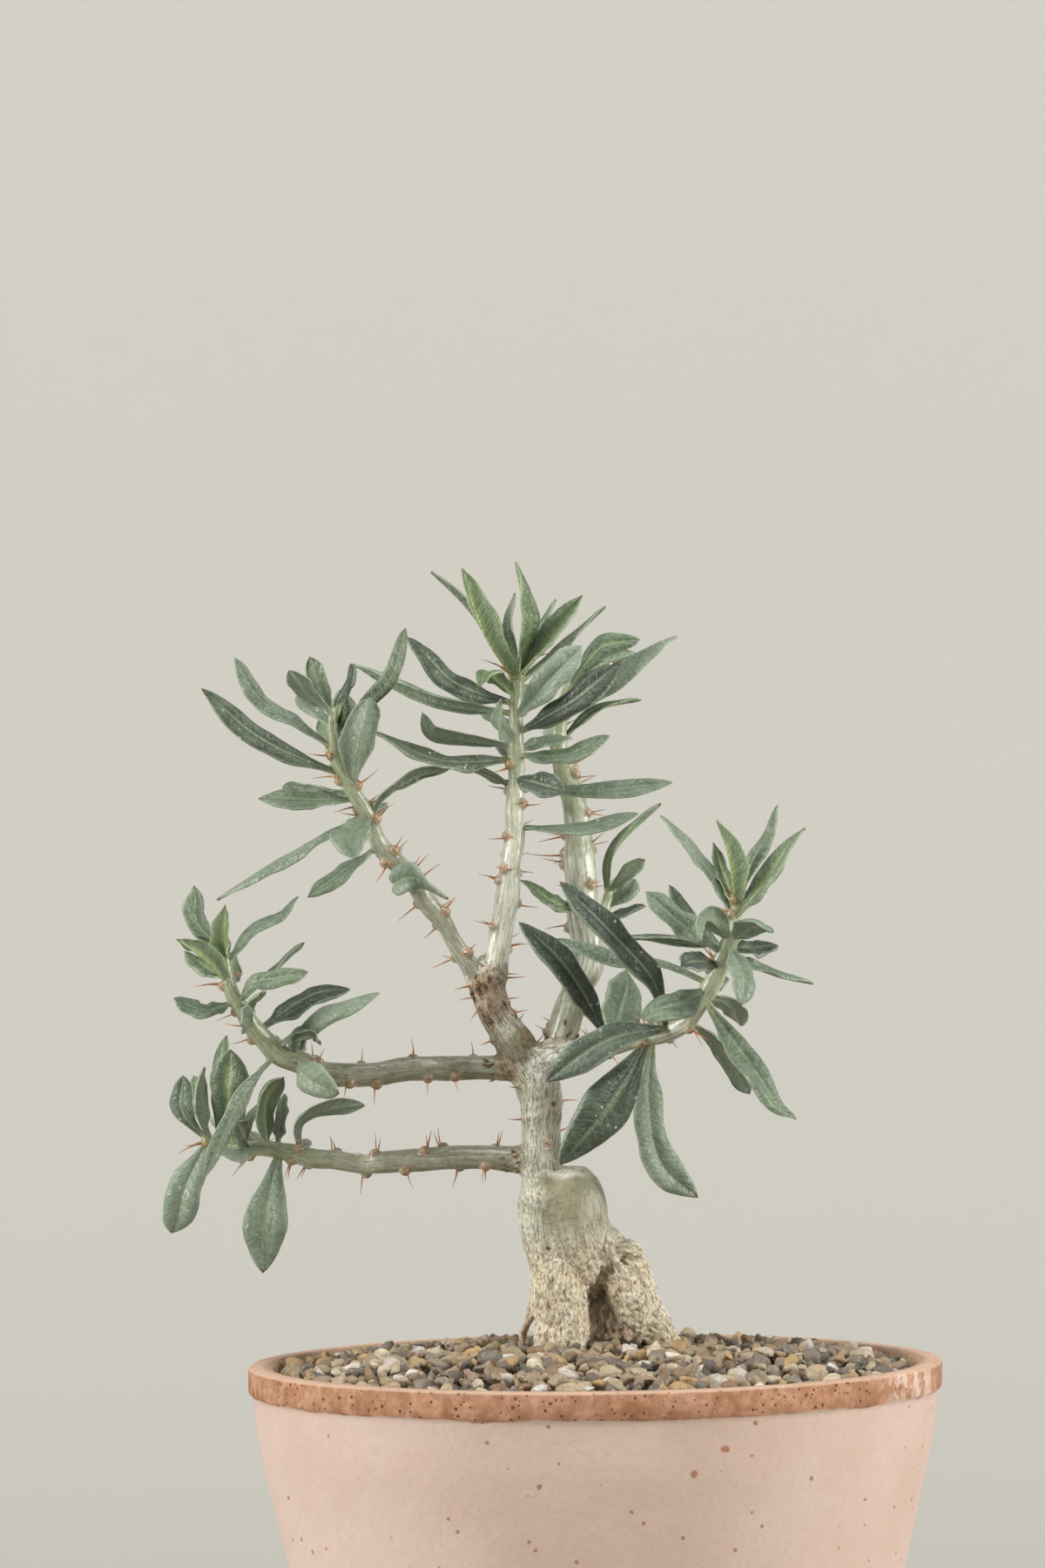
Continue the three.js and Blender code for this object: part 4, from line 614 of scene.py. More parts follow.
def ring_faces(rings, count, closed_ends=True):
    """Faces between rings of count points each, and caps on the two ends."""
    faces = []
    for i in range(rings - 1):
        for k in range(count):
            a, b = i * count + k, i * count + (k + 1) % count
            faces.append((a, b, b + count, a + count))
    if closed_ends:
        faces.append(tuple(range(count))[::-1])
        faces.append(tuple(range((rings - 1) * count, rings * count)))
    return faces


def tube(stations, sides=18, extra=0.0):
    """A round limb with domed ends through (x, y, z, radius) stations."""
    curve = smooth_curve(stations)
    whole = lengths_along(curve)[-1]
    line = at_lengths(curve, np.linspace(0, whole, max(int(whole / RING_STEP), 3)))
    centres, radii = line[:, :3], line[:, 3] + extra
    forward = headings(centres)
    side = sides_along(forward)
    other = np.cross(forward, side)
    first = centres[0] - forward[0] * radii[0] * END_OUT
    last = centres[-1] + forward[-1] * radii[-1] * END_OUT
    rings = [(first, side[0], other[0], radii[0] * END_WIDTH), *zip(centres, side, other, radii),
             (last, side[-1], other[-1], radii[-1] * END_WIDTH)]
    points = [centre + radius * (np.cos(angle) * a + np.sin(angle) * b)
              for centre, a, b, radius in rings for angle in circle(sides)]
    return np.array(points), ring_faces(len(rings), sides)


def knot(centre, axis, width, height, sides=10, rings=6):
    """A rounded swelling round centre, longer or shorter along axis than across it."""
    side = carry(beside(axis), axis)
    other = np.cross(axis, side)
    points = []
    for tilt in math.pi * (np.arange(rings) + 0.5) / rings:
        for turn in circle(sides):
            around = side * math.cos(turn) + other * math.sin(turn)
            points.append(centre - axis * math.cos(tilt) * height + around * math.sin(tilt) * width)
    return np.array(points), ring_faces(rings, sides)


def mesh_of(name, points, faces):
    mesh = bpy.data.meshes.new(name)
    mesh.from_pydata([tuple(p) for p in points], [], faces)
    mesh.update()
    return mesh


def placed(name, mesh):
    """A new object of a mesh, in the scene."""
    shape = bpy.data.objects.new(name, mesh)
    bpy.context.scene.collection.objects.link(shape)
    return shape


def settled(shape, *helpers):
    """The mesh of a shape with its modifiers applied. The shape and its helpers are removed."""
    bpy.context.view_layer.update()
    mesh = bpy.data.meshes.new_from_object(shape.evaluated_get(bpy.context.evaluated_depsgraph_get()))
    for spare in (shape, *helpers):
        bpy.data.objects.remove(spare)
    return mesh


def grown_together(name, skins, grain):
    """One closed mesh round overlapping closed skins, with faces about as large as grain."""
    points, faces = joined(skins)
    shape = placed(name, mesh_of(name, points, faces))
    skin = shape.modifiers.new("skin", "REMESH")
    skin.mode = "VOXEL"
    skin.voxel_size = grain
    return settled(shape)


def points_of(mesh, kind="co"):
    flat = np.empty(len(mesh.vertices) * 3)
    mesh.vertices.foreach_get(kind, flat)
    return flat.reshape(-1, 3)


def normals_of(mesh):
    return points_of(mesh, "normal")


def set_points(mesh, points):
    mesh.vertices.foreach_set("co", np.asarray(points, np.float32).ravel())
    mesh.update()


# Shares that even out the steps left by growing together, without shrinking the form, and how
# often they are taken
EVENING = (0.6, -0.62)
STEM_ROUNDS = 3
TRUNK_ROUNDS = 16


def relaxed(mesh, shares):
    """Moves each point by a share of the way to its neighbours' middle, once for each share."""
    ends = np.empty(len(mesh.edges) * 2, np.int64)
    mesh.edges.foreach_get("vertices", ends)
    first, second = ends.reshape(-1, 2).T
    points = points_of(mesh)
    count = np.bincount(ends, minlength=len(points))[:, None]
    for share in shares:
        total = np.zeros_like(points)
        np.add.at(total, first, points[second])
        np.add.at(total, second, points[first])
        points = points + share * (total / np.maximum(count, 1) - points)
    set_points(mesh, points)


def rough(points, size, octaves=2, offset=0.0):
    """Smooth noise, about -1 to 1, whose swells are size millimetres long."""
    scaled = points / np.array(size) + offset
    return np.array([noise.fractal(Vector(p), 1.0, 2.0, octaves) for p in scaled])


def slits(points, size, offset=0.0, share=0.24):
    """1 in short slits as long as the largest of the three sizes, 0 between them."""
    return ease(rough(points, size, 1, offset), share, share + 0.22)


# How far apart a limb is sampled, and how many points are measured against it at once
GRAIN_STEP = 0.7
BLOCK = 2000


def grain_of(points, routes):
    """Each point as (across, across, along) its nearest limb, and its share of that limb's length."""
    samples = []
    for route in routes:
        curve = smooth_curve(route)
        whole = lengths_along(curve)[-1]
        gone = np.arange(0, whole, GRAIN_STEP)
        line = at_lengths(curve, gone)
        forward = headings(line[:, :3])
        samples.append(np.column_stack((line, forward, sides_along(forward), gone, gone / whole)))
    samples = np.vstack(samples)
    grain, share = [], []
    for start in range(0, len(points), BLOCK):
        block = points[start:start + BLOCK]
        away = np.linalg.norm(block[:, None] - samples[None, :, :3], axis=2) - samples[None, :, 3]
        near = samples[np.argmin(away, axis=1)]
        offset = block - near[:, :3]
        forward, side = near[:, 4:7], near[:, 7:10]
        other = np.cross(forward, side)
        ahead = near[:, 10] + (offset * forward).sum(1)
        grain.append(np.column_stack(((offset * side).sum(1), (offset * other).sum(1), ahead)))
        share.append(near[:, 11])
    return np.vstack(grain), np.concatenate(share)


def near_spots(points, spots, size):
    """How close each point is to any of the spots: 1 at one, 0 from about two sizes away."""
    spots = np.array(spots)
    away = [np.linalg.norm(points[start:start + BLOCK, None] - spots[None], axis=2).min(1)
            for start in range(0, len(points), BLOCK)]
    return np.exp(-(np.concatenate(away) / size) ** 2)


def keep(mesh, name, values):
    """Keeps three numbers per point for the material to read."""
    attribute = mesh.attributes.new(name, "FLOAT_VECTOR", "POINT")
    attribute.data.foreach_set("vector", np.asarray(values, np.float32).ravel())


def keep_columns(mesh, name, *columns):
    keep(mesh, name, np.stack(columns, axis=1))


def smooth_shaded(mesh):
    mesh.polygons.foreach_set("use_smooth", [True] * len(mesh.polygons))


def piece(name, mesh, material, slot, *nodes):
    """Puts a finished mesh, in millimetres, into the scene as a piece of the plant or pot."""
    set_points(mesh, points_of(mesh) * MM)
    smooth_shaded(mesh)
    mesh.materials.clear()
    mesh.materials.append(material)
    mesh.name = name
    made = placed(name, mesh)
    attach(made, "root")
    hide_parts(*nodes)


# Leaves. Ranges are (least, most), angles are in degrees.

# Half a leaf steepens beside its rib by RISE, and rolls down towards its edge by ROLL
RISE = (16, 36)
ROLL = (55, 105)
YOUNG_ROLL = (75, 115)
# How high the edge's waves are on a leaf 6 mm wide, and how many it has from stem to tip
WAVE = (0.5, 1.2)
WAVES = (1.4, 2.8)
YOUNG_WAVES = (2.2, 3.6)
TWIST = (8, 44)
# How far the tip bends to or from its upper face, beyond this share of the leaf
CURL = (-2.4, 0.6)
CURL_START = 0.6
# How much the blunt outline shows in a leaf's own
BLUNTNESS = (0, 0.75)
YOUNG_FOLD = 14
# The stretch of a short leaf, and of a longer one, whose direction the leaf's faces are set across
SHORT_LEAF = 20
SHORT_SPAN = (0, 0.66)
LONG_SPAN = (0.16, 0.64)
SECTION_STEPS = 40
# How much thicker a leaf is at its foot, and the share by which it is thinner at its edges
FOOT_THICKENING = 0.65
EDGE_THINNING = 0.55
# The rib is a ridge under the leaf and a slight groove over it
RIB_WIDTH = 0.36
RIB_DEPTH = 0.36
RIB_GROOVE = 0.14


def leaf_section(fold, rise, roll):
    """Half a leaf's cross-section, from rib to edge, as (reach, lift) for a half-width of 1. It
    steepens from fold to fold + rise degrees beside the rib and rolls down towards the edge."""
    steps = np.linspace(0, 1, SECTION_STEPS + 1)
    slope = np.radians(fold + rise * np.minimum(steps / 0.22, 1) - (rise + roll) * steps**1.6)[1:]
    reach = np.concatenate(([0], np.cumsum(np.cos(slope) / SECTION_STEPS)))
    lift = np.concatenate(([0], np.cumsum(np.sin(slope) / SECTION_STEPS)))
    away = np.abs(np.array(LEAF_ACROSS))
    widest = reach.max()
    return np.interp(away, steps, reach) / widest, np.interp(away, steps, lift) / widest


def upper_face(curve, growth, turn):
    """Where a leaf's upper face looks: to the front at a turn of 0, up its stem at 90 degrees."""
    whole = lengths_along(curve)[-1]
    span = SHORT_SPAN if whole < SHORT_LEAF else LONG_SPAN
    start, end = at_lengths(curve, np.array(span) * whole)
    middle = unit(end - start)
    facing = carry(FRONT, middle)
    rising = np.cross(middle, facing)
    if np.dot(rising, growth) < 0:
        rising = -rising
    angle = math.radians(turn)
    return facing * math.cos(angle) + rising * math.sin(angle)


def leaf_widths(shares, young, blunt):
    """A leaf's width at shares of its length, as shares of its full width."""
    if young:
        return np.interp(shares, *zip(*YOUNG_OUTLINE))
    return ((1 - blunt) * np.interp(shares, *zip(*LEAF_OUTLINE))
            + blunt * np.interp(shares, *zip(*BLUNT_OUTLINE)))


def leaf_habit(one, draw):
    """What makes one leaf differ from the next."""
    young = one["kind"] == YOUNG
    return {
        "fold": one["fold"] + (YOUNG_FOLD if young else 0),
        "rise": draw.uniform(*RISE),
        "roll": draw.uniform(*(YOUNG_ROLL if young else ROLL)),
        "wave": draw.uniform(*WAVE) * min(one["width"] / 6, 1.2),
        "waves": draw.uniform(*(YOUNG_WAVES if young else WAVES)),
        "phase": [draw.uniform(0, 2 * math.pi) for _ in range(4)],
        "twist": math.radians(draw.choice((-1, 1)) * draw.uniform(*TWIST)),
        "curl": draw.uniform(*CURL),
        "blunt": draw.uniform(*BLUNTNESS),
    }


def leaf_row(habit, s, half, facing):
    """A leaf's cross-section at a share s of its length, half being its half-width there: how far
    each point reaches out from the rib, and how high the leaf's upper and under faces are. A tip
    curls as far as the leaf is facing the front."""
    across = np.array(LEAF_ACROSS)
    away = np.abs(across)
    left = across < 0
    grown = float(ease(s, 0.04, 0.3))
    turns = 2 * math.pi * habit["waves"] * s
    swing = [math.sin(turns + p) + 0.25 * math.sin(2.3 * turns + 3 * p) for p in habit["phase"]]
    halves = [leaf_section(habit["fold"], habit["rise"] * grown, habit["roll"] * grown * (1 + 0.35 * one))
              for one in swing[:2]]
    bulge = [1 + 0.09 * grown * one for one in swing[2:]]
    reach = half * np.where(left, -halves[0][0] * bulge[0], halves[1][0] * bulge[1])
    lift = half * np.where(left, halves[0][1], halves[1][1])
    wave = habit["wave"] * away**3 * np.where(left, swing[0], swing[1])
    lift += wave * grown * math.sin(math.pi * s**0.8)
    lift += habit["curl"] * facing * max(s - CURL_START, 0) ** 2 / (1 - CURL_START) ** 2
    bulk = LEAF_THICKNESS + FOOT_THICKENING * (1 - float(ease(s, 0, 0.2)))
    thick = bulk * (1 - EDGE_THINNING * away**2) / 2
    rib = np.exp(-(reach / RIB_WIDTH) ** 2) * (1 - 0.8 * s)
    top = lift + thick - RIB_GROOVE * rib
    top[[0, -1]] = lift[[0, -1]]
    return reach, top, lift - thick - RIB_DEPTH * rib


def leaf_skin(route, one, draw):
    """A thin leaf with rolled, wavy edges and a rib under it, grown from its stem."""
    centre, growth, _ = seat_on(route, one["root"])
    curve = smooth_curve([centre, *one["along"]])
    whole = lengths_along(curve)[-1]
    shares = np.linspace(0, 1, LEAF_STATIONS) ** 0.95
    line = at_lengths(curve, shares * whole)
    forward = headings(line)
    upper = upper_face(curve, growth, one["turn"])
    habit = leaf_habit(one, draw)
    widths = leaf_widths(shares, one["kind"] == YOUNG, habit["blunt"])
    across = np.array(LEAF_ACROSS)
    points, values = [], []
    for s, spot, ahead, width in zip(shares, line, forward, widths):
        face = carry(upper, ahead)
        side = np.cross(ahead, face)
        turned = habit["twist"] * s * s
        face, side = (face * math.cos(turned) + side * math.sin(turned),
                      side * math.cos(turned) - face * math.sin(turned))
        reach, top, under = leaf_row(habit, s, one["width"] * width / 2, abs(np.dot(upper, FRONT)))
        flat = spot + side * reach[:, None]
        # The upper face from edge to edge, then the under face back again
        for height, upward, order in ((top, 1, slice(None)), (under, 0, slice(-2, 0, -1))):
            points.append((flat + face * height[:, None])[order])
            values.append(np.stack((0 * across + s, across, 0 * across + upward), axis=1)[order])
    round_count = 2 * len(across) - 2
    faces = ring_faces(LEAF_STATIONS, round_count, closed_ends=False)
    faces.append(tuple(range(round_count))[::-1])
    last = (LEAF_STATIONS - 1) * round_count
    tip_index = LEAF_STATIONS * round_count
    faces += [(last + k, last + (k + 1) % round_count, tip_index) for k in range(round_count)]
    tip = np.vstack(points[-2:]).mean(0) + forward[-1] * 0.35
    points = np.vstack((*points, tip))
    values = np.vstack((*values, (1, 0, 1)))
    tone = np.tile((*one["kind"],), (len(points), 1)).astype(float)
    tone += draw.uniform(-0.12, 0.12)
    shade = np.tile((draw.random(), draw.random(), whole), (len(points), 1))
    return points, faces, values, tone, shade


# Spines

# Spines closer together than this, as the front sees them, are a pair
PAIR_GAP = 2.2
# A hidden twin stands this many degrees from the spine that is seen, as (least, most)
TWIN_SWING = (38, 58)
# Half the angle between the spines of a pair behind, in radians
BACK_PAIR_SWING = 0.45
# Radii of spines at their foot, on the stems and on the trunk
STEM_SPINE = (0.27, 0.38)
TRUNK_SPINE = (0.3, 0.42)
# How far a spine bends, as a share of its length, and the radius of its point
SPINE_BEND = 0.06
SPINE_POINT = 0.035


def needle_skin(root, tip, radius, draw, sides=6, rings=6):
    """A slender, slightly bent spine."""
    whole = np.linalg.norm(tip - root)
    forward = unit(tip - root)
    side = carry(np.array((0.3, 0.2, 0.9)), forward)
    other = np.cross(forward, side)
    bend = draw.uniform(-SPINE_BEND, SPINE_BEND) * whole
    points, values = [], []
    for share in np.linspace(0, 1, rings):
        spot = root + (tip - root) * share + side * bend * math.sin(math.pi * share)
        thick = radius * (1 - share) ** 1.15 + SPINE_POINT
        points.append([spot + thick * (np.cos(a) * side + np.sin(a) * other) for a in circle(sides)])
        values.append(np.tile((share, 0, 0), (sides, 1)))
    return np.vstack(points), ring_faces(rings, sides), np.vstack(values)


def needles_mesh(name, spines, thinnest, thickest, draw):
    """One mesh of spines that are given as (root, tip, base on the bark)."""
    points, faces, values = joined([needle_skin(root, tip, draw.uniform(thinnest, thickest), draw)
                                    for root, tip, _ in spines])
    thorns = mesh_of(name, points, faces)
    keep(thorns, "place", values)
    return thorns


def spine_ends(route, spot, index):
    """A spine's foot in the middle of its stem, its point, its base on the bark, and the way that
    the stem grows. All spines are about as long, so a short one in the picture leans to the front
    or to the back."""
    x, z, tip_x, tip_z = spot
    centre, growth, radius = seat_on(route, (x, z))
    seen = math.hypot(tip_x - x, tip_z - z)
    lean = math.sqrt(max(SPINE_LENGTH**2 - seen**2, 0))
    tip = np.array((tip_x, centre[1] + (lean if index % 2 else -lean), tip_z))
    base = centre + carry(unit(tip - centre), growth) * radius
    return centre, tip, base, growth


def spines_of(route, spots, draw):
    """Every spine seen from the front, each with its twin, as (root, tip, base on the bark)."""
    found = []
    for index, spot in enumerate(spots):
        centre, tip, base, growth = spine_ends(route, spot, index)
        found.append((centre, tip, base))
        paired = any(math.hypot(spot[0] - other[0], spot[1] - other[1]) < PAIR_GAP
                     for k, other in enumerate(spots) if k != index)
        if not paired:
            swing = draw.choice((-1, 1)) * draw.uniform(*TWIN_SWING)
            twin = turned_about(unit(tip - centre), growth, swing)
            reach = np.linalg.norm(tip - centre) * draw.uniform(0.75, 1.0)
            found.append((base + (centre - base) * 0.5, centre + unit(twin) * reach, base))
    return found


def back_spines(route, draw):
    """Pairs of spines on the side of a stem that faces away from the viewer."""
    found = []
    for x, y, z, radius in route[2:-1:3]:
        root = np.array((x, y, z), float)
        sweep = draw.uniform(-0.6, 0.6)
        base = root + np.array((math.sin(sweep), math.cos(sweep), 0)) * radius
        for apart in (-BACK_PAIR_SWING, BACK_PAIR_SWING):
            way = unit(np.array((math.sin(sweep + apart), math.cos(sweep + apart), draw.random() * 0.4)))
            found.append((root, root + way * (radius + SPINE_LENGTH), base))
    return found


# Stems

# Radius of the brown cushion round a spine, and of the green one under a leaf
NUB_REACH = 1.35
SEAT_REACH = 0.9
# Half-width and half-height of the swelling under a leaf, and how far out on the stem it sits
LEAF_SEAT = (0.8, 0.7)
LEAF_SEAT_OUT = 0.75
# How far the stems stand out over their stations, and how far apart they lie in the bark's pattern
STEM_MARGIN = 0.12
BARK_SHIFT = 40


def stem_parts(branch, pale):
    """The stem, leaves and spines of one branch as meshes."""
    draw = random.Random(branch["seed"])
    routes = branch["routes"]
    spines = spines_of(routes[0], branch["spines"], draw) + back_spines(routes[0], draw)
    nubs = [base for _, _, base in spines]
    skins = [tube(route, extra=STEM_MARGIN) for route in routes]
    skins += [knot(base, unit(base - seat_centre(routes[0], base)), NUB_WIDTH, NUB_HEIGHT) for base in nubs]
    seats = []
    leaf_skins = []
    for route, leaves in branch["leaves"]:
        for one in leaves:
            centre, _, radius = seat_on(route, one["root"])
            way = unit(np.array(one["along"][0], float) - centre)
            seats.append(centre + way * radius)
            skins.append(knot(centre + way * radius * LEAF_SEAT_OUT, way, *LEAF_SEAT))
            leaf_skins.append(leaf_skin(route, one, draw))
    stem = grown_together("stem", skins, STEM_SKIN)
    relaxed(stem, EVENING * STEM_ROUNDS)
    points, normals = points_of(stem), normals_of(stem)
    grain, share = grain_of(points, routes)
    # Every stem shows another part of the bark's pattern
    grain[:, 2] += BARK_SHIFT * branch["seed"]
    swell = 0.16 * rough(grain, (2.4, 2.4, 6), 2) + 0.05 * rough(grain, (0.9, 0.9, 2.5), 2, 7)
    set_points(stem, points + normals * swell[:, None])
    keep(stem, "grain", grain)
    keep_columns(stem, "wear", share, near_spots(points, nubs, NUB_REACH),
                 near_spots(points, seats, SEAT_REACH))
    # Each stem's paleness; on the darker stems it is partly painted shade
    keep(stem, "growth", np.tile((pale, 0, 0), (len(points), 1)))
    points, faces, values, tone, shade = joined(leaf_skins)
    leaves = mesh_of("leaves", points, faces)
    keep(leaves, "place", values)
    keep(leaves, "tone", tone)
    keep(leaves, "shade", shade)
    return stem, leaves, needles_mesh("spines", spines, *STEM_SPINE, draw)


# Trunk

TRUNK_SEED = 5
TRUNK_SIDES = 24
# Half-width and half-height of the cushion under a spine, and the radius of its brown mark
TRUNK_NUB = (1.0, 0.7)
TRUNK_NUB_REACH = 1.1
# Height up to which old bark lies over the legs, and where the pale ring under the neck is
OLD_BARK_TOP = 157.0
RING_HEIGHT = 171.0
RING_WIDTH = 0.5
# Scaly brown patches where branches leave, and dry scales in the fork, as (x, z, size)
COLLARS = (
    (-17.6, 176.5, 3.2), (-18.5, 193.5, 3.4), (-23.5, 211.5, 3.2), (-5.5, 199.5, 4.2), (-13.5, 200.5, 2.6),
)
# How far old bark stands out over the first three stations of a branch, and then sinks under
SLEEVE = (0.3, 0.25, -0.8)
# Where the old stem below the fork leaves the hub, as (x, z), and the way that it leans
FORK_FOOT = (-12, 195)
FORK_WAY = (-0.59, 0.81)
# Leaf scars on the front, as (x, z, size)
SCARS = ((-9.9, 155, 0.6), (-9.9, 177.6, 0.85), (-8.2, 186.1, 0.75), (-11.6, 166.9, 0.4))
SCAR_DEPTH = 0.4
# Rounds that melt the fold between the shoulder and the left leg
MELTING = 45
# Where marks begin and end, each as (low, rise, high, fall): two by height, and three up the old stem
MELT_RANGE = (142, 5, 158, 5)
FORK_RANGE = (194, 2, 214, 3)
BROWN_RANGE = (10, 2, 20, 4)
OLIVE_RANGE = (-1, 2, 10, 2)
PEELED_RANGE = (7.5, 1, 11.5, 1)


def fork_masks(points):
    """Where the old stem between the hub and the fork is brown, olive and silvery."""
    across, height = points[:, 0], points[:, 2]
    wander = 0.9 * rough(points, (2.2, 2.2, 2.2), 2, 13)
    up_stem = FORK_WAY[1] * (height - FORK_FOOT[1]) + FORK_WAY[0] * (across - FORK_FOOT[0]) + wander
    over_stem = FORK_WAY[1] * (across - FORK_FOOT[0]) - FORK_WAY[0] * (height - FORK_FOOT[1])
    at_fork = within(height, *FORK_RANGE)
    left_side = 1 - ease(over_stem, 3, 6)
    brown = at_fork * within(up_stem, *BROWN_RANGE)
    olive = at_fork * within(up_stem, *OLIVE_RANGE) * left_side
    peeled = at_fork * within(up_stem, *PEELED_RANGE) * ease(over_stem, -3.5, -2) * left_side
    silver = ease(height + 0.5 * rough(points, (3, 3, 3), 2), 190.5, 193)
    silver *= ease(across + 0.35 * (height - 192), -15, -11)
    silver *= 1 - ease(height - 0.75 * (across + 12), 195.5, 198)
    silver = np.maximum(silver, 0.5 * peeled)
    return brown * (1 - silver), olive * (1 - silver), silver


def strongest_mark(points, marks, falling):
    """The strongest at each point of several round marks, given as (x, z, size). A mark's strength
    is falling(distance, size)."""
    shown = np.zeros(len(points))
    for x, z, size in marks:
        shown = np.maximum(shown, falling(np.hypot(points[:, 0] - x, points[:, 2] - z), size))
    return shown


def trunk_skins():
    """The closed skins that the trunk grows from, and its spines as (root, tip, base on the bark)."""
    skins = [tube(limb, TRUNK_SIDES) for limb in TRUNK_LIMBS]
    for branch in BRANCHES.values():
        start = [(x, y, z, radius + more) for (x, y, z, radius), more in zip(branch["routes"][0], SLEEVE)]
        skins.append(tube(start))
    spines = []
    for index, (route, *spot) in enumerate(TRUNK_SPINES):
        centre, tip, base, _ = spine_ends(route, spot, index)
        spines.append((base + (centre - base) * 0.4, tip, base))
        skins.append(knot(base, unit(base - centre), *TRUNK_NUB))
    return skins, spines


def trunk_parts():
    """The trunk and its spines as meshes."""
    draw = random.Random(TRUNK_SEED)
    skins, spines = trunk_skins()
    trunk = grown_together("trunk", skins, TRUNK_SKIN)
    relaxed(trunk, EVENING * TRUNK_ROUNDS)
    points = points_of(trunk)
    melt = within(points[:, 2], *MELT_RANGE) * (1 - ease(points[:, 0], 1.5, 4))
    relaxed(trunk, [0.5 * melt[:, None]] * MELTING)
    points, normals = points_of(trunk), normals_of(trunk)
    grain, _ = grain_of(points, TRUNK_LIMBS)
    across, height = points[:, 0], points[:, 2]

    # Old bark lies on the legs, and the smooth bark above it grows darker on the dome
    low = 1 - ease(height + 3.5 * rough(points, (2.6, 2.6, 7), 3) - 0.1 * (across + 7),
                   OLD_BARK_TOP - 6, OLD_BARK_TOP + 4)
    dome = ease(across - 2.4 * rough(points, (4, 4, 4), 3), -14.5, -8) * ease(height, 154, 164)
    dome *= (1 - ease(height, 170, 171)) * (1 - 0.45 * ease(across, -4, 1))
    brown, olive, silver = fork_masks(points)
    # Painted shade in the hollow between the legs, and on the side root in the grit
    hollow = ease(points[:, 1], 5, 10) * ease(-normals[:, 1], -0.2, 0.5)
    side_root = (1 - ease(across, -14.4, -13.7)) * (1 - ease(height, 140, 143))
    painted_hollow_shade = low * np.maximum(hollow, side_root)

    gaps = np.maximum(slits(grain, (1.2, 1.2, 4.5), 3.0), slits(grain, (0.8, 0.8, 1.6), 31.0, 0.2))
    flakes = ease(rough(grain, (1.1, 1.1, 2.2), 1, 47.0), 0.0, 0.14)
    furrows = slits(grain, (0.62, 0.62, 4), 11.0, 0.3)
    lumps = rough(grain, (4, 4, 10), 3, 5.0)
    grit = rough(points, (0.8, 0.8, 1.3), 2, 17.0)
    ring = np.exp(-((height + 0.9 * rough(points, (4, 4, 4), 1) - RING_HEIGHT) / RING_WIDTH) ** 2)
    ragged = 0.8 * rough(points, (1.6, 1.6, 1.6), 2)
    collar = strongest_mark(points, COLLARS, lambda gap, size: 1 - ease(gap + ragged, 0.6 * size, size))
    scar = strongest_mark(points, SCARS, lambda gap, size: np.exp(-(gap / size) ** 2))
    scar *= normals[:, 1] < 0.1
    nub = near_spots(points, [base for _, _, base in spines], TRUNK_NUB_REACH)

    relief = low * (0.5 * lumps - 0.32 * gaps + 0.24 * flakes + 0.2 * grit)
    relief += (1 - low) * (0.25 * lumps - 0.1 * furrows + 0.05 * grit) + 0.16 * ring
    relief -= SCAR_DEPTH * scar
    set_points(trunk, points + normals * relief[:, None])
    keep(trunk, "grain", grain)
    keep_columns(trunk, "wear", low, scar, low * gaps + (1 - low) * furrows)
    keep_columns(trunk, "growth", nub, ring, flakes)
    keep_columns(trunk, "region", brown, silver, painted_hollow_shade)
    keep_columns(trunk, "patch", dome, collar, olive)
    return trunk, needles_mesh("trunk_spines", spines, *TRUNK_SPINE, draw)


SCALES_SEED = 33
# Dry brown scales, as (limb, x, z, how many, how wide they are spread)
SCALES = (
    (FORK, -24.5, 211.5, 16, 2.4), (FORK, -20.5, 206, 6, 2), (LOW_STEM, -17.5, 176.5, 10, 1.6),
    (REAR_STEM, -6, 199.5, 12, 2.4), (LEFT_STEM, -21.5, 195.5, 6, 1.6), (RIGHT_LEG, 5.5, 151.5, 4, 1.2),
)


def scales_mesh():
    draw = random.Random(SCALES_SEED)
    skins = []
    for limb, x, z, count, spread in SCALES:
        for _ in range(count):
            aside, above = draw.uniform(-spread, spread), draw.uniform(-spread, spread)
            centre, growth, radius = seat_on(limb, (x + aside, z + above))
            outward = turned_about(carry(FRONT, growth), growth, draw.uniform(-75, 75))
            lying = growth + outward * draw.uniform(0.05, 0.5)
            lying = unit(lying + np.cross(growth, outward) * draw.uniform(-0.6, 0.6))
            spot = centre + outward * (radius + 0.1)
            skins.append(knot(spot, lying, draw.uniform(0.18, 0.34), draw.uniform(0.7, 1.5), 6, 6))
    points, faces = joined(skins)
    return mesh_of("dry_scales", points, faces)


# Pot

def lathe(profile, sides):
    """A closed form turned from (radius, height) points that start and end on the axis."""
    angles = circle(sides)
    rings = [np.stack((r * np.cos(angles), r * np.sin(angles), np.full(sides, z)), axis=1)
             for r, z in profile[1:-1]]
    faces = ring_faces(len(rings), sides, closed_ends=False)
    points = np.vstack((*rings, (0, 0, profile[0][1]), (0, 0, profile[-1][1])))
    base, top, last = len(points) - 2, len(points) - 1, (len(rings) - 1) * sides
    for k in range(sides):
        following = (k + 1) % sides
        faces.append((base, following, k))
        faces.append((top, last + k, last + following))
    return points, faces


def finely(profile, step):
    """The same profile with points no further apart than about step."""
    fine = [profile[0]]
    for (r0, z0), (r1, z1) in zip(profile, profile[1:]):
        count = max(int(math.hypot(r1 - r0, z1 - z0) / step), 1)
        fine += [(r0 + (r1 - r0) * k / count, z0 + (z1 - z0) * k / count) for k in range(1, count + 1)]
    return fine


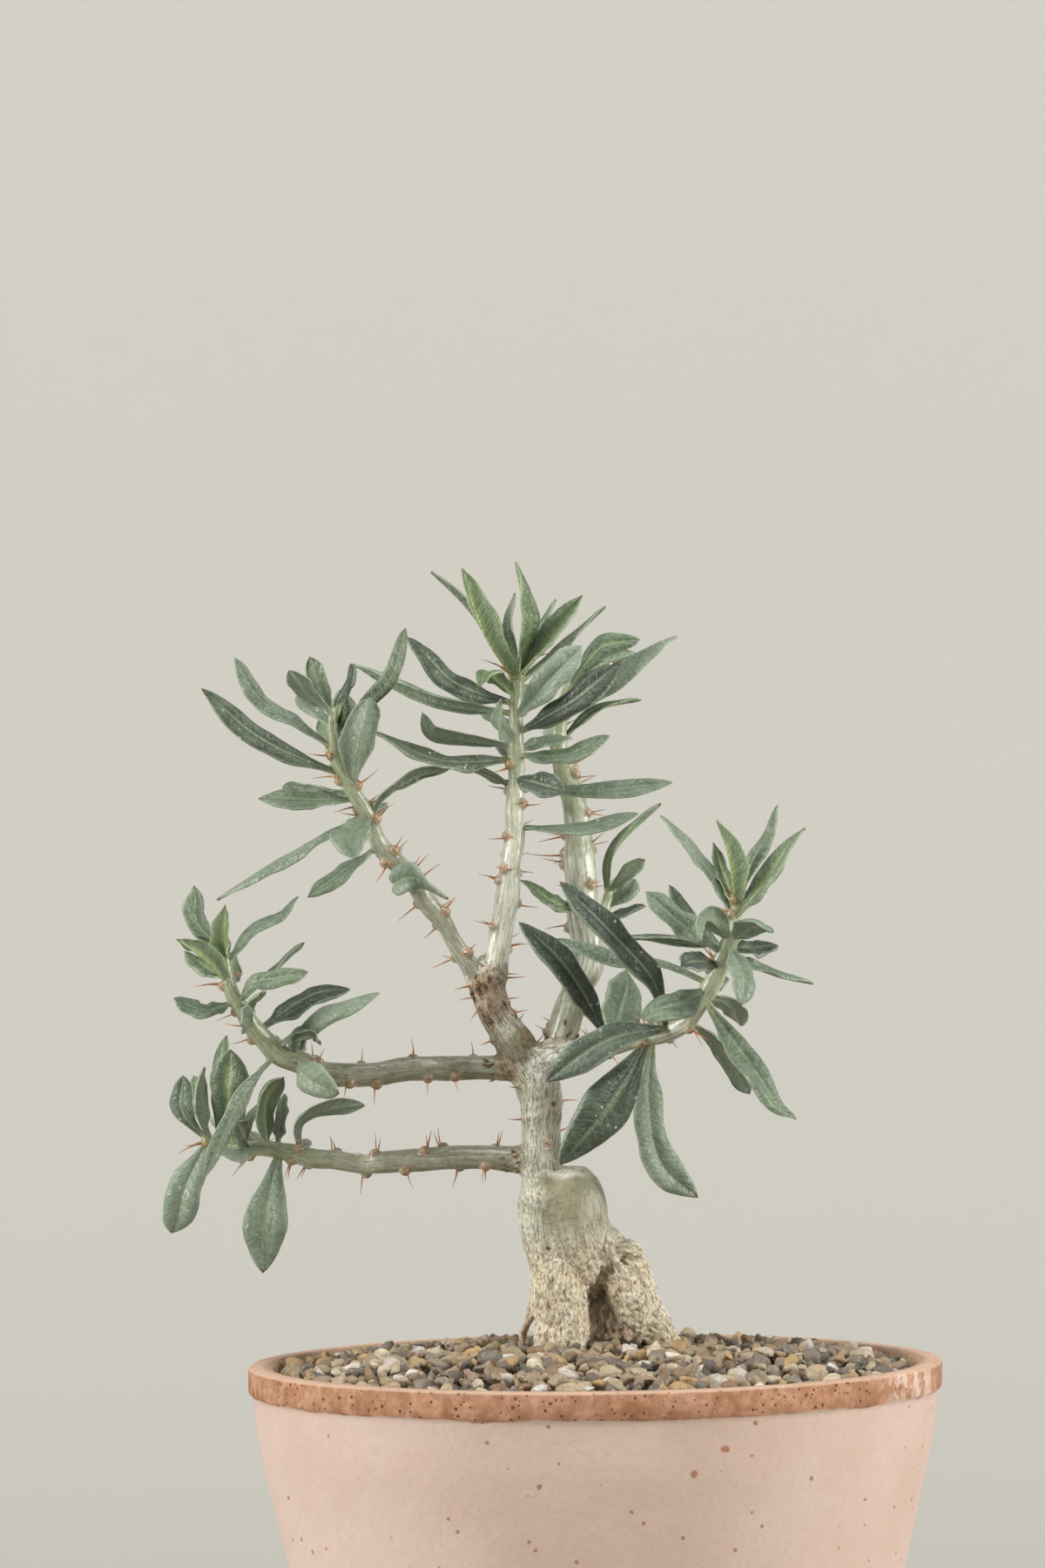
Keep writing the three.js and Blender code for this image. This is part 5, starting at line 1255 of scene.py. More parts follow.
def pot_outside():
    """The pot's outer side from its underside to the top of its rim, as (radius, height)."""
    band = POT_HEIGHT - RIM_BAND
    swell = [(BASE_RADIUS, ARRIS, 0), *[(r, z, 0) for r, z in OUTER_SWELL], (RIM_RADIUS - RIM_STEP, band, 0)]
    return [
        (BASE_RADIUS - ARRIS, 0), (BASE_RADIUS - 0.25, 0.25), (BASE_RADIUS, ARRIS),
        *[tuple(p) for p in smooth_curve(swell, 8)[1:, :2]],
        (RIM_RADIUS - 0.35, band + 0.2), (RIM_RADIUS, band + 0.7),
        (RIM_RADIUS, POT_HEIGHT - ARRIS), (RIM_RADIUS - 0.1, POT_HEIGHT - 0.35),
        (RIM_RADIUS - 0.35, POT_HEIGHT - 0.1), (RIM_RADIUS - ARRIS, POT_HEIGHT),
    ]


def pot_inside():
    """The pot's inner side from the top of its rim to its floor, as (radius, height)."""
    inner = RIM_RADIUS - WALL
    return [
        (inner + ARRIS, POT_HEIGHT), (inner + 0.25, POT_HEIGHT - 0.25), (inner, POT_HEIGHT - ARRIS),
        *INNER_SWELL, (BASE_RADIUS - WALL + 2 * ARRIS, FLOOR),
    ]


# Height of the swells, the fine grain and the rim's dents in the pot's outer side
SWELLS = 0.22
GRAININESS = 0.07
LIP_DENTS = 0.1


def hand_thrown(points):
    """The pot's points with the slight unevenness of its outer side and its rim."""
    around = np.arctan2(points[:, 1], points[:, 0])
    reach, height = np.hypot(points[:, 0], points[:, 1]), points[:, 2]
    band = POT_HEIGHT - RIM_BAND
    uneven = SWELLS * rough(points, (30, 30, 20), 2) + GRAININESS * rough(points, (4, 4, 3), 2, 9)
    lip = ease(height, band - 2, band) * rough(points, (7, 7, 2), 2, 3) * LIP_DENTS
    wide = np.where(reach > BASE_RADIUS - 1, uneven + lip, 0)
    inward = (reach < RIM_RADIUS - WALL + 0.5 * ARRIS) | (height < 1)
    wide = np.where(inward & (height < POT_HEIGHT - 0.1), 0, wide)
    return points + np.stack((np.cos(around) * wide, np.sin(around) * wide, 0 * wide), axis=1)


def pot_mesh():
    outside = pot_outside()
    profile = finely([(PLAIN_MIDDLE, 0), *outside, *pot_inside(), (PLAIN_MIDDLE, FLOOR)], POT_RING)
    points, faces = lathe([(0, 0), *profile, (0, FLOOR)], POT_SIDES)
    pot = placed("pot", mesh_of("pot", hand_thrown(points), faces))
    drills = []
    for i in range(DRAIN_COUNT):
        angle = 2 * math.pi * (i + DRAIN_TURN) / DRAIN_COUNT
        x, y = DRAIN_CIRCLE * math.cos(angle), DRAIN_CIRCLE * math.sin(angle)
        shaft = [(0, -3), (DRAIN_RADIUS, -3), (DRAIN_RADIUS, FLOOR + 3), (0, FLOOR + 3)]
        points, faces = lathe(shaft, 40)
        drill = placed("drill", mesh_of("drill", points + (x, y, 0), faces))
        cut = pot.modifiers.new("drain", "BOOLEAN")
        cut.operation = "DIFFERENCE"
        cut.solver = "EXACT"
        cut.object = drill
        drills.append(drill)
    mesh = settled(pot, *drills)
    points = points_of(mesh)
    reach, height = np.hypot(points[:, 0], points[:, 1]), points[:, 2]
    outer_radii, outer_heights = zip(*outside)
    shell = np.interp(height, outer_heights, outer_radii)
    inner_wall = (reach < shell - WALL / 2) & (height > 0.5 * FLOOR)
    keep_columns(mesh, "side", inner_wall, 0 * reach, 0 * reach)
    return mesh


# Gravel

STONES_SEED = 21
# Two layers of stones, as (share of its spots that are taken, height over the gravel's surface)
STONE_LAYERS = ((1.0, -0.9), (0.62, 0.7))
# Rows and layers of closely laid stones, as shares of the spacing
ROW_STEP = 0.866
LAYER_SHIFT = 0.577
# A stone's radius: the middle and spread of its logarithm, and its limits
STONE_MIDDLE = 0.78
STONE_SPREAD = 0.24
SMALLEST_STONE = 1.4
LARGEST_STONE = 3.5
# How far a stone leans in radians, and the share of stones that lean so far
FLAT_LEAN = 0.5
STEEP_LEAN = 1.3
LYING_FLAT = 0.75


def gravel_height(reach):
    return GRAVEL_CROWN + (GRAVEL_EDGE - GRAVEL_CROWN) * np.minimum(reach / RIM_RADIUS, 1) ** 2


def ball():
    """A ball of 80 small triangles, as points and faces."""
    gold = (1 + 5**0.5) / 2
    points = [unit(np.array(p, float)) for p in (
        (-1, gold, 0), (1, gold, 0), (-1, -gold, 0), (1, -gold, 0), (0, -1, gold), (0, 1, gold),
        (0, -1, -gold), (0, 1, -gold), (gold, 0, -1), (gold, 0, 1), (-gold, 0, -1), (-gold, 0, 1))]
    faces = [(0, 11, 5), (0, 5, 1), (0, 1, 7), (0, 7, 10), (0, 10, 11), (1, 5, 9), (5, 11, 4),
             (11, 10, 2), (10, 7, 6), (7, 1, 8), (3, 9, 4), (3, 4, 2), (3, 2, 6), (3, 6, 8),
             (3, 8, 9), (4, 9, 5), (2, 4, 11), (6, 2, 10), (8, 6, 7), (9, 8, 1)]
    middles, finer = {}, []
    for a, b, c in faces:
        corners = []
        for pair in ((a, b), (b, c), (c, a)):
            key = tuple(sorted(pair))
            if key not in middles:
                middles[key] = len(points)
                points.append(unit(points[pair[0]] + points[pair[1]]))
            corners.append(middles[key])
        ab, bc, ca = corners
        finer += [(a, ab, ca), (b, bc, ab), (c, ca, bc), (ab, bc, ca)]
    return np.array(points), finer


def stone_shapes(draw):
    """Kinds of water-worn stone: balls with a few flats ground on them."""
    shapes = []
    points, faces = ball()
    for _ in range(STONE_KINDS):
        stone = points.copy()
        for _ in range(draw.randint(6, 9)):
            way = unit(np.array([draw.gauss(0, 1) for _ in range(3)]))
            limit = draw.uniform(0.32, 0.72)
            over = np.maximum(stone @ way - limit, 0)
            stone = stone - over[:, None] * way
        stone *= np.array((1, draw.uniform(0.68, 0.95), draw.uniform(0.5, 0.8)))
        shapes.append(stone)
    return shapes, faces


def stone_spots(draw):
    """Where stones lie inside the rim, as (x, y, z, size)."""
    inner = RIM_RADIUS - WALL
    rows = int(inner / (STONE_SPACING * ROW_STEP)) + 1
    jitter = 0.45 * STONE_SPACING
    spots = []
    for layer, (chance, lift) in enumerate(STONE_LAYERS):
        for row in range(-rows, rows + 1):
            for column in range(-rows - 2, rows + 3):
                x = STONE_SPACING * (column + 0.5 * (row % 2) + 0.5 * layer) + draw.uniform(-jitter, jitter)
                y = STONE_SPACING * (ROW_STEP * row + LAYER_SHIFT * layer) + draw.uniform(-jitter, jitter)
                size = draw.lognormvariate(STONE_MIDDLE, STONE_SPREAD)
                size = min(max(size, SMALLEST_STONE), LARGEST_STONE)
                if draw.random() > chance or math.hypot(x, y) > inner - 0.75 * size:
                    continue
                z = float(gravel_height(math.hypot(x, y))) + lift + draw.uniform(-0.35, 0.35)
                spots.append((x, y, z, size))
    return spots


def tumbled(around, lean_x, lean_y):
    """A turn about the upright, then two leans, as a matrix."""
    c, s = math.cos(around), math.sin(around)
    upright = np.array(((c, -s, 0), (s, c, 0), (0, 0, 1)))
    c, s = math.cos(lean_x), math.sin(lean_x)
    first = np.array(((1, 0, 0), (0, c, -s), (0, s, c)))
    c, s = math.cos(lean_y), math.sin(lean_y)
    second = np.array(((c, 0, s), (0, 1, 0), (-s, 0, c)))
    return second @ first @ upright


def stones_mesh():
    draw = random.Random(STONES_SEED)
    shapes, faces = stone_shapes(draw)
    legs = [smooth_curve(leg, 4) for leg in (LEFT_LEG, RIGHT_LEG, BACK_LEG, THIN_ROOT)]
    skins = []
    for x, y, z, size in stone_spots(draw):
        in_leg = any(abs(lz - z) < 2 and math.hypot(lx - x, ly - y) < radius - 0.2 * size
                     for leg in legs for lx, ly, lz, radius in leg)
        shape = shapes[draw.randrange(STONE_KINDS)]
        around, lean_x, lean_y = Vector([draw.uniform(0, 2 * math.pi) for _ in range(3)])
        lean = FLAT_LEAN if draw.random() < LYING_FLAT else STEEP_LEAN
        spin = tumbled(around, lean * math.sin(lean_x), lean * math.sin(lean_y))
        tint = (draw.random(), draw.random(), draw.random())
        if not in_leg:
            stone = (shape * size) @ spin.T + (x, y, z)
            skins.append((stone, faces, np.tile(tint, (len(stone), 1))))
    points, faces, tint = joined(skins)
    mesh = mesh_of("stones", points, faces)
    keep(mesh, "tint", tint)
    return mesh


def bed_mesh():
    """The grit between and under the stones."""
    inner = RIM_RADIUS - WALL - 0.2
    top = [(r, float(gravel_height(r)) - BED_DEPTH) for r in np.linspace(inner, 1, 60)]
    profile = [(0, BED_UNDERSIDE), (inner - 1, BED_UNDERSIDE), *top, (0, GRAVEL_CROWN - BED_DEPTH)]
    points, faces = lathe(profile, 160)
    uneven = 0.5 * rough(points, (1.6, 1.6, 1.6), 2)
    points[:, 2] += np.where(points[:, 2] > BED_UNDERSIDE + 0.5, uneven, 0)
    return mesh_of("gravel_bed", points, faces)


# Material building blocks

def paint(red, green, blue):
    """A colour as a screen shows it, 0 to 255, in the renderer's own scale."""
    shares = [c / 255 for c in (red, green, blue)]
    return (*[c / 12.92 if c < 0.04045 else ((c + 0.055) / 1.055) ** 2.4 for c in shares], 1)


def wire(tree, value, socket):
    if isinstance(value, bpy.types.NodeSocket):
        tree.links.new(value, socket)
    else:
        socket.default_value = value


def node(tree, kind, sockets=None, **settings):
    made = tree.nodes.new(kind)
    for name, value in settings.items():
        setattr(made, name, value)
    for name, value in (sockets or {}).items():
        wire(tree, value, made.inputs[name])
    return made


def calc(tree, operation, *values):
    return node(tree, "ShaderNodeMath", dict(enumerate(values)), operation=operation).outputs[0]


def times(tree, first, second):
    return calc(tree, "MULTIPLY", first, second)


def vector_calc(tree, operation, first, second):
    made = node(tree, "ShaderNodeVectorMath", {0: first, 1: second}, operation=operation)
    return made.outputs["Value" if operation == "DISTANCE" else "Vector"]


def between(tree, value, low, high, start=0.0, end=1.0):
    """Maps low..high to start..end with a soft beginning and end."""
    made = node(tree, "ShaderNodeMapRange",
                {"Value": value, "From Min": low, "From Max": high, "To Min": start, "To Max": end},
                interpolation_type="SMOOTHSTEP")
    return made.outputs["Result"]


def blend(tree, share, first, second):
    """The first colour where share is 0, the second where it is 1."""
    return node(tree, "ShaderNodeMix", {0: share, 6: first, 7: second}, data_type="RGBA").outputs[2]


def coat(tree, under, mask, share, colour):
    """A colour over another one, where a mask is 1 and by a share at most."""
    return blend(tree, times(tree, mask, share), under, colour)


def parts_of(tree, vector):
    return node(tree, "ShaderNodeSeparateXYZ", {0: vector}).outputs


def stored(tree, name):
    """The three numbers that each point of a mesh keeps under a name."""
    return node(tree, "ShaderNodeAttribute", attribute_name=name).outputs["Vector"]


def group_of(name, ins, build):
    """A shared effect that puts out a mask: ins are {socket name: (kind, default)}."""
    group = bpy.data.node_groups.new(name, "ShaderNodeTree")
    for socket, (kind, value) in ins.items():
        made = group.interface.new_socket(socket, in_out="INPUT", socket_type=kind)
        if value is not None:
            made.default_value = value
    group.interface.new_socket("Mask", in_out="OUTPUT", socket_type=FLOAT)
    arrives = group.nodes.new("NodeGroupInput").outputs
    leaves = group.nodes.new("NodeGroupOutput").inputs
    group.links.new(build(group, arrives), leaves["Mask"])
    return group


def use(tree, group, **sockets):
    made = node(tree, "ShaderNodeGroup", node_tree=group)
    for name, value in sockets.items():
        wire(tree, value, made.inputs[name])
    return made.outputs["Mask"]


FLOAT, VECTOR = "NodeSocketFloat", "NodeSocketVector"


def build_mottle(tree, arrives):
    """Soft patches: 0 in some places, 1 in others."""
    scale = calc(tree, "DIVIDE", 1.0, arrives["Size"])
    cloud = node(tree, "ShaderNodeTexNoise",
                 {"Vector": arrives["Place"], "Scale": scale, "Detail": 3.0, "Roughness": 0.55})
    low = calc(tree, "SUBTRACT", 0.5, arrives["Softness"])
    high = calc(tree, "ADD", 0.5, arrives["Softness"])
    return between(tree, cloud.outputs["Fac"], low, high)


def build_specks(tree, arrives):
    """Small separate spots, in a share of the cells of a given size."""
    scale = calc(tree, "DIVIDE", 1.0, arrives["Size"])
    cells = node(tree, "ShaderNodeTexVoronoi",
                 {"Vector": arrives["Place"], "Scale": scale, "Randomness": 1.0})
    pick = node(tree, "ShaderNodeSeparateColor", {0: cells.outputs["Color"]}).outputs
    chosen = calc(tree, "LESS_THAN", pick["Red"], arrives["Share"])
    reach = calc(tree, "MULTIPLY_ADD", pick["Green"], 0.22, 0.1)
    inside = calc(tree, "SUBTRACT", reach, cells.outputs["Distance"])
    return times(tree, between(tree, inside, 0.0, 0.09), chosen)


def build_fissures(tree, arrives):
    """Short dark slits along a limb, from its grain in millimetres."""
    stretched = vector_calc(tree, "MULTIPLY", arrives["Grain"], arrives["Closeness"])
    cloud = node(tree, "ShaderNodeTexNoise",
                 {"Vector": stretched, "Scale": 1.0, "Detail": 2.0, "Roughness": 0.6, "Distortion": 0.3})
    full = calc(tree, "ADD", arrives["Start"], 0.07)
    return between(tree, cloud.outputs["Fac"], arrives["Start"], full)


mottle = group_of("Mottle", {"Place": (VECTOR, None), "Size": (FLOAT, 0.01), "Softness": (FLOAT, 0.2)},
                  build_mottle)
specks = group_of("Specks", {"Place": (VECTOR, None), "Size": (FLOAT, 0.002), "Share": (FLOAT, 0.2)},
                  build_specks)
fissures = group_of("Fissures",
                    {"Grain": (VECTOR, None), "Closeness": (VECTOR, (1, 1, 0.2)), "Start": (FLOAT, 0.6)},
                    build_fissures)


def cloudy(tree, place, size, softness):
    """Soft patches about size millimetres wide."""
    return use(tree, mottle, Place=place, Size=size * MM, Softness=softness)


def speckled(tree, place, size, share):
    """Spots about size millimetres apart, in a share of the places."""
    return use(tree, specks, Place=place, Size=size * MM, Share=share)


def slit(tree, grain, closeness, start):
    """Slits along a limb, more of them for a lower start."""
    return use(tree, fissures, Grain=grain, Closeness=closeness, Start=start)


def two_tone(tree, mask, first, second):
    return blend(tree, mask, paint(*first), paint(*second))


def surface(name, build):
    """A material whose build gives the values of the shader's sockets, and a Height in metres."""
    material = bpy.data.materials.new(name)
    material.use_nodes = True
    tree = material.node_tree
    tree.nodes.clear()
    place = node(tree, "ShaderNodeTexCoord").outputs["Object"]
    values = build(tree, place)
    height = values.pop("Height", None)
    shader = node(tree, "ShaderNodeBsdfPrincipled", values)
    if height is not None:
        bump = node(tree, "ShaderNodeBump", {"Height": height, "Distance": 1.0, "Strength": 1.0})
        tree.links.new(bump.outputs["Normal"], shader.inputs["Normal"])
    out = tree.nodes.new("ShaderNodeOutputMaterial")
    tree.links.new(shader.outputs[0], out.inputs[0])
    return material


def total(tree, first, *others):
    """Adds up (mask, millimetres) pairs into one height in metres."""
    mask, rise = first
    height = times(tree, mask, rise * MM)
    for mask, rise in others:
        height = calc(tree, "ADD", height, times(tree, mask, rise * MM))
    return height


# Clay and grit

# Iron stains on the front as (x, z, size) in millimetres
SPOTS = (
    (26, 117.5, 1.3), (19.5, 112.5, 1.15), (32.5, 122.5, 1), (-12.5, 110.5, 0.9), (6.5, 105, 0.8),
    (9, 102.5, 0.8), (56, 104, 0.7), (56, 98.5, 0.6), (28, 96, 0.9), (-13.5, 97, 0.8), (-66, 104, 0.7),
    (-57.5, 94.5, 0.7), (-43.5, 98.5, 0.5), (-5, 94.5, 0.8), (66, 122.5, 0.7),
)
# Where the middle of the bleached patch on the rim's band lies along x, and how far it reaches
BARE_PATCH = 66.5
BARE_PATCH_REACH = 6.5
# The body's coat ends in a wavering line, on average this far under the band
COAT_UNDER_BAND = 1.4
COAT_WAVER = 2.6

# Colours of the stones, and the share of them at which each begins
STONE_COLOURS = (
    (0.0, (172, 152, 122)), (0.17, (138, 130, 114)), (0.33, (196, 176, 144)), (0.46, (104, 98, 90)),
    (0.56, (198, 164, 112)), (0.65, (150, 118, 86)), (0.73, (82, 80, 78)), (0.8, (224, 210, 182)),
    (0.88, (166, 142, 124)), (0.94, (240, 234, 222)),
)


def build_clay(tree, place):
    x, y, z = parts_of(tree, place)
    inside = parts_of(tree, stored(tree, "side"))[0]
    fine = cloudy(tree, place, 1.6, 0.22)
    dust = speckled(tree, place, 2.1, 0.085)
    body = two_tone(tree, cloudy(tree, place, 35, 0.2), (206, 181, 165), (214, 192, 179))
    body = coat(tree, body, fine, 0.25, paint(196, 166, 148))
    body = coat(tree, body, dust, 0.7, paint(136, 92, 62))
    flat = node(tree, "ShaderNodeCombineXYZ", {"X": x, "Z": z}).outputs[0]
    front = calc(tree, "LESS_THAN", y, 0.0)
    wander = times(tree, fine, 0.5 * MM)
    for spot_x, spot_z, size in SPOTS:
        away = vector_calc(tree, "DISTANCE", flat, (spot_x * MM, 0, spot_z * MM))
        near = between(tree, calc(tree, "ADD", away, wander), size * MM, size * 0.6 * MM)
        body = coat(tree, body, times(tree, near, front), 0.8, paint(160, 100, 62))
    # The bare band
    bleached = cloudy(tree, place, 12, 0.12)
    pits = speckled(tree, place, 1.3, 0.85)
    ring = two_tone(tree, cloudy(tree, place, 5, 0.12), (158, 112, 82), (198, 150, 120))
    ring = coat(tree, ring, bleached, 0.3, paint(214, 178, 152))
    ring = coat(tree, ring, fine, 0.6, paint(152, 102, 70))
    ring = coat(tree, ring, pits, 0.85, paint(92, 58, 42))
    aside = calc(tree, "ABSOLUTE", calc(tree, "SUBTRACT", x, BARE_PATCH * MM))
    patch = between(tree, aside, BARE_PATCH_REACH * MM, 3.5 * MM)
    patch = times(tree, patch, cloudy(tree, place, 2.8, 0.1))
    ring = coat(tree, ring, patch, 0.85, paint(222, 198, 180))
    waver = node(tree, "ShaderNodeTexNoise", {"Vector": place, "Scale": 90.0, "Detail": 3.0}).outputs["Fac"]
    coat_end = (POT_HEIGHT - RIM_BAND - COAT_UNDER_BAND) * MM
    edge = calc(tree, "MULTIPLY_ADD", waver, COAT_WAVER * MM, coat_end)
    band = between(tree, calc(tree, "SUBTRACT", z, edge), -0.1 * MM, 0.4 * MM)
    colour = blend(tree, band, body, ring)
    # The rim's top, and the damp inner wall
    reach = calc(tree, "POWER", calc(tree, "ADD", times(tree, x, x), times(tree, y, y)), 0.5)
    bore = RIM_RADIUS - WALL
    top = times(tree, between(tree, z, (POT_HEIGHT - 0.6) * MM, (POT_HEIGHT - 0.2) * MM),
                between(tree, reach, (bore + 0.1) * MM, (bore + 0.6) * MM))
    colour = coat(tree, colour, top, 0.75, paint(214, 182, 158))
    colour = blend(tree, inside, colour, two_tone(tree, fine, (160, 130, 106), (182, 152, 128)))
    height = total(tree, (fine, 0.06), (times(tree, pits, band), -0.3), (dust, -0.04))
    return {"Base Color": colour, "Roughness": 0.85, "Specular IOR Level": 0.25, "Height": height}


def build_soil(tree, place):
    clods = cloudy(tree, place, 4, 0.15)
    return {"Base Color": two_tone(tree, clods, (72, 56, 42), (104, 84, 64)), "Roughness": 0.95,
            "Height": total(tree, (clods, 0.6))}


def build_stones(tree, place):
    kind, light, odd = parts_of(tree, stored(tree, "tint"))
    ramp = node(tree, "ShaderNodeValToRGB", {"Fac": kind})
    ramp.color_ramp.interpolation = "CONSTANT"
    steps = ramp.color_ramp.elements
    for index, (start, colour) in enumerate(STONE_COLOURS):
        step = steps[index] if index < 2 else steps.new(start)
        step.position = start
        step.color = paint(*colour)
    colour = blend(tree, between(tree, light, 0, 1, 0.0, 0.4), ramp.outputs["Color"], paint(158, 140, 114))
    veins = cloudy(tree, place, 1.2, 0.25)
    colour = coat(tree, colour, veins, 0.4, paint(86, 74, 58))
    colour = coat(tree, colour, speckled(tree, place, 0.9, 0.3), 0.35, paint(214, 206, 190))
    return {"Base Color": colour, "Roughness": between(tree, odd, 0, 1, 0.35, 0.7),
            "Specular IOR Level": 0.5, "Height": total(tree, (veins, 0.12))}


def build_bed(tree, place):
    grains = cloudy(tree, place, 0.9, 0.15)
    return {"Base Color": two_tone(tree, grains, (58, 47, 36), (112, 96, 76)), "Roughness": 0.9,
            "Height": total(tree, (grains, 0.4))}


# Bark

def build_trunk_bark(tree, place):
    grain = stored(tree, "grain")
    low, scar, crack = parts_of(tree, stored(tree, "wear"))
    nub, ring, flake = parts_of(tree, stored(tree, "growth"))
    brown, silver, painted_hollow_shade = parts_of(tree, stored(tree, "region"))
    dome, collar, olive = parts_of(tree, stored(tree, "patch"))
    patches = cloudy(tree, place, 6, 0.18)
    fine = cloudy(tree, place, 1.1, 0.2)
    lines = times(tree, slit(tree, grain, (3.0, 3.0, 0.4), 0.55), between(tree, dome, 0, 1, 1.0, 0.35))
    chips = slit(tree, grain, (3.0, 3.0, 1.1), 0.57)

    def patchy(first, second):
        return two_tone(tree, patches, first, second)

    # Smooth bark on the neck, the dome and the old stem
    smooth = patchy((176, 177, 152), (224, 222, 202))
    smooth = coat(tree, smooth, brown, 0.9, patchy((122, 92, 66), (170, 140, 114)))
    smooth = blend(tree, silver, smooth, paint(236, 234, 222))
    smooth = coat(tree, smooth, fine, 0.35, paint(234, 230, 212))
    smooth = coat(tree, smooth, lines, 0.6, paint(112, 106, 82))
    smooth = coat(tree, smooth, crack, between(tree, dome, 0, 1, 0.5, 0.1), paint(96, 88, 66))
    smooth = coat(tree, smooth, dome, 0.85, patchy((112, 110, 80), (148, 140, 106)))
    smooth = coat(tree, smooth, olive, 0.85, patchy((116, 110, 84), (138, 131, 103)))
    smooth = coat(tree, smooth, collar, 0.65, two_tone(tree, fine, (92, 72, 50), (176, 148, 108)))
    # Old, flaky bark on the legs
    flaky = patchy((230, 215, 182), (242, 232, 206))
    flaky = coat(tree, flaky, flake, 0.5, paint(248, 241, 222))
    flaky = coat(tree, flaky, fine, 0.35, paint(212, 192, 154))
    flaky = coat(tree, flaky, chips, 0.55, paint(150, 122, 86))
    flaky = coat(tree, flaky, crack, 0.4, paint(140, 116, 82))
    colour = blend(tree, low, smooth, flaky)
    # Painted shade in the hollow between the legs and on the side root
    colour = coat(tree, colour, painted_hollow_shade, 0.6, paint(184, 146, 110))
    colour = coat(tree, colour, ring, 0.6, paint(236, 230, 212))
    # A leaf scar is a dark point in a brown rim in a pale halo
    halo = times(tree, between(tree, scar, 0.02, 0.12), between(tree, scar, 0.4, 0.2))
    rim = times(tree, between(tree, scar, 0.15, 0.4), between(tree, scar, 0.9, 0.65))
    colour = coat(tree, colour, halo, 0.6, paint(228, 222, 200))
    colour = coat(tree, colour, rim, 0.6, paint(172, 136, 90))
    colour = coat(tree, colour, between(tree, scar, 0.6, 0.85), 0.9, paint(84, 58, 38))
    colour = coat(tree, colour, between(tree, nub, 0.3, 0.9), 0.45, paint(170, 130, 88))
    height = total(tree, (fine, 0.16), (lines, -0.25), (times(tree, chips, low), -0.5), (patches, 0.3))
    return {"Base Color": colour, "Roughness": between(tree, low, 0, 1, 0.5, 0.85),
            "Specular IOR Level": 0.35, "Height": height}


def build_stem_bark(tree, place):
    grain = stored(tree, "grain")
    share, nub, cushion = parts_of(tree, stored(tree, "wear"))
    pale = parts_of(tree, stored(tree, "growth"))[0]
    patches = cloudy(tree, place, 6, 0.2)
    fine = cloudy(tree, place, 0.9, 0.2)
    lines = slit(tree, grain, (2.2, 2.2, 0.2), 0.55)
    streaks = slit(tree, grain, (1.3, 1.3, 0.09), 0.5)
    dull = two_tone(tree, patches, (96, 95, 72), (126, 125, 98))
    bright = two_tone(tree, patches, (174, 179, 146), (230, 232, 208))
    green = two_tone(tree, patches, (144, 156, 114), (172, 180, 142))
    # Dull on the darker stems, partly as painted shade, and bright and silvery on the pale ones
    colour = blend(tree, pale, dull, bright)
    colour = coat(tree, colour, fine, 0.2, paint(208, 208, 188))
    colour = coat(tree, colour, streaks, between(tree, pale, 0.2, 1, 0.05, 0.75), paint(242, 242, 230))
    colour = blend(tree, between(tree, share, 0.4, 0.85, 0.0, 0.85), colour, green)
    colour = coat(tree, colour, lines, between(tree, pale, 0, 1, 0.3, 0.2), paint(112, 108, 82))
    colour = coat(tree, colour, between(tree, nub, 0.2, 0.7), 0.9,
                  two_tone(tree, fine, (150, 96, 56), (200, 142, 92)))
    colour = coat(tree, colour, between(tree, cushion, 0.4, 0.9), 0.5, paint(158, 156, 112))
    height = total(tree, (lines, -0.14), (fine, 0.06), (patches, 0.1))
    return {"Base Color": colour, "Roughness": between(tree, fine, 0, 1, 0.34, 0.46),
            "Specular IOR Level": 0.6, "Coat Weight": 0.5, "Coat Roughness": 0.18, "Height": height}


def build_spine(tree, place):
    share = parts_of(tree, stored(tree, "place"))[0]
    fine = cloudy(tree, place, 1.4, 0.25)
    colour = two_tone(tree, fine, (158, 102, 58), (200, 142, 86))
    colour = blend(tree, between(tree, share, 0.45, 0.15), colour, paint(204, 160, 100))
    colour = blend(tree, between(tree, share, 0.75, 1.0, 0.0, 0.5), colour, paint(120, 70, 48))
    return {"Base Color": colour, "Roughness": 0.45}


def build_scales(tree, place):
    fine = cloudy(tree, place, 1.2, 0.2)
    return {"Base Color": two_tone(tree, fine, (68, 52, 38), (150, 122, 84)), "Roughness": 0.8}


# Leaves

# How far a side vein runs along the leaf from the rib to the edge, in millimetres, and the turn of
# the veins' wave in a millimetre, in radians
VEIN_SLANT = 3.2
VEIN_CLOSENESS = 3.1


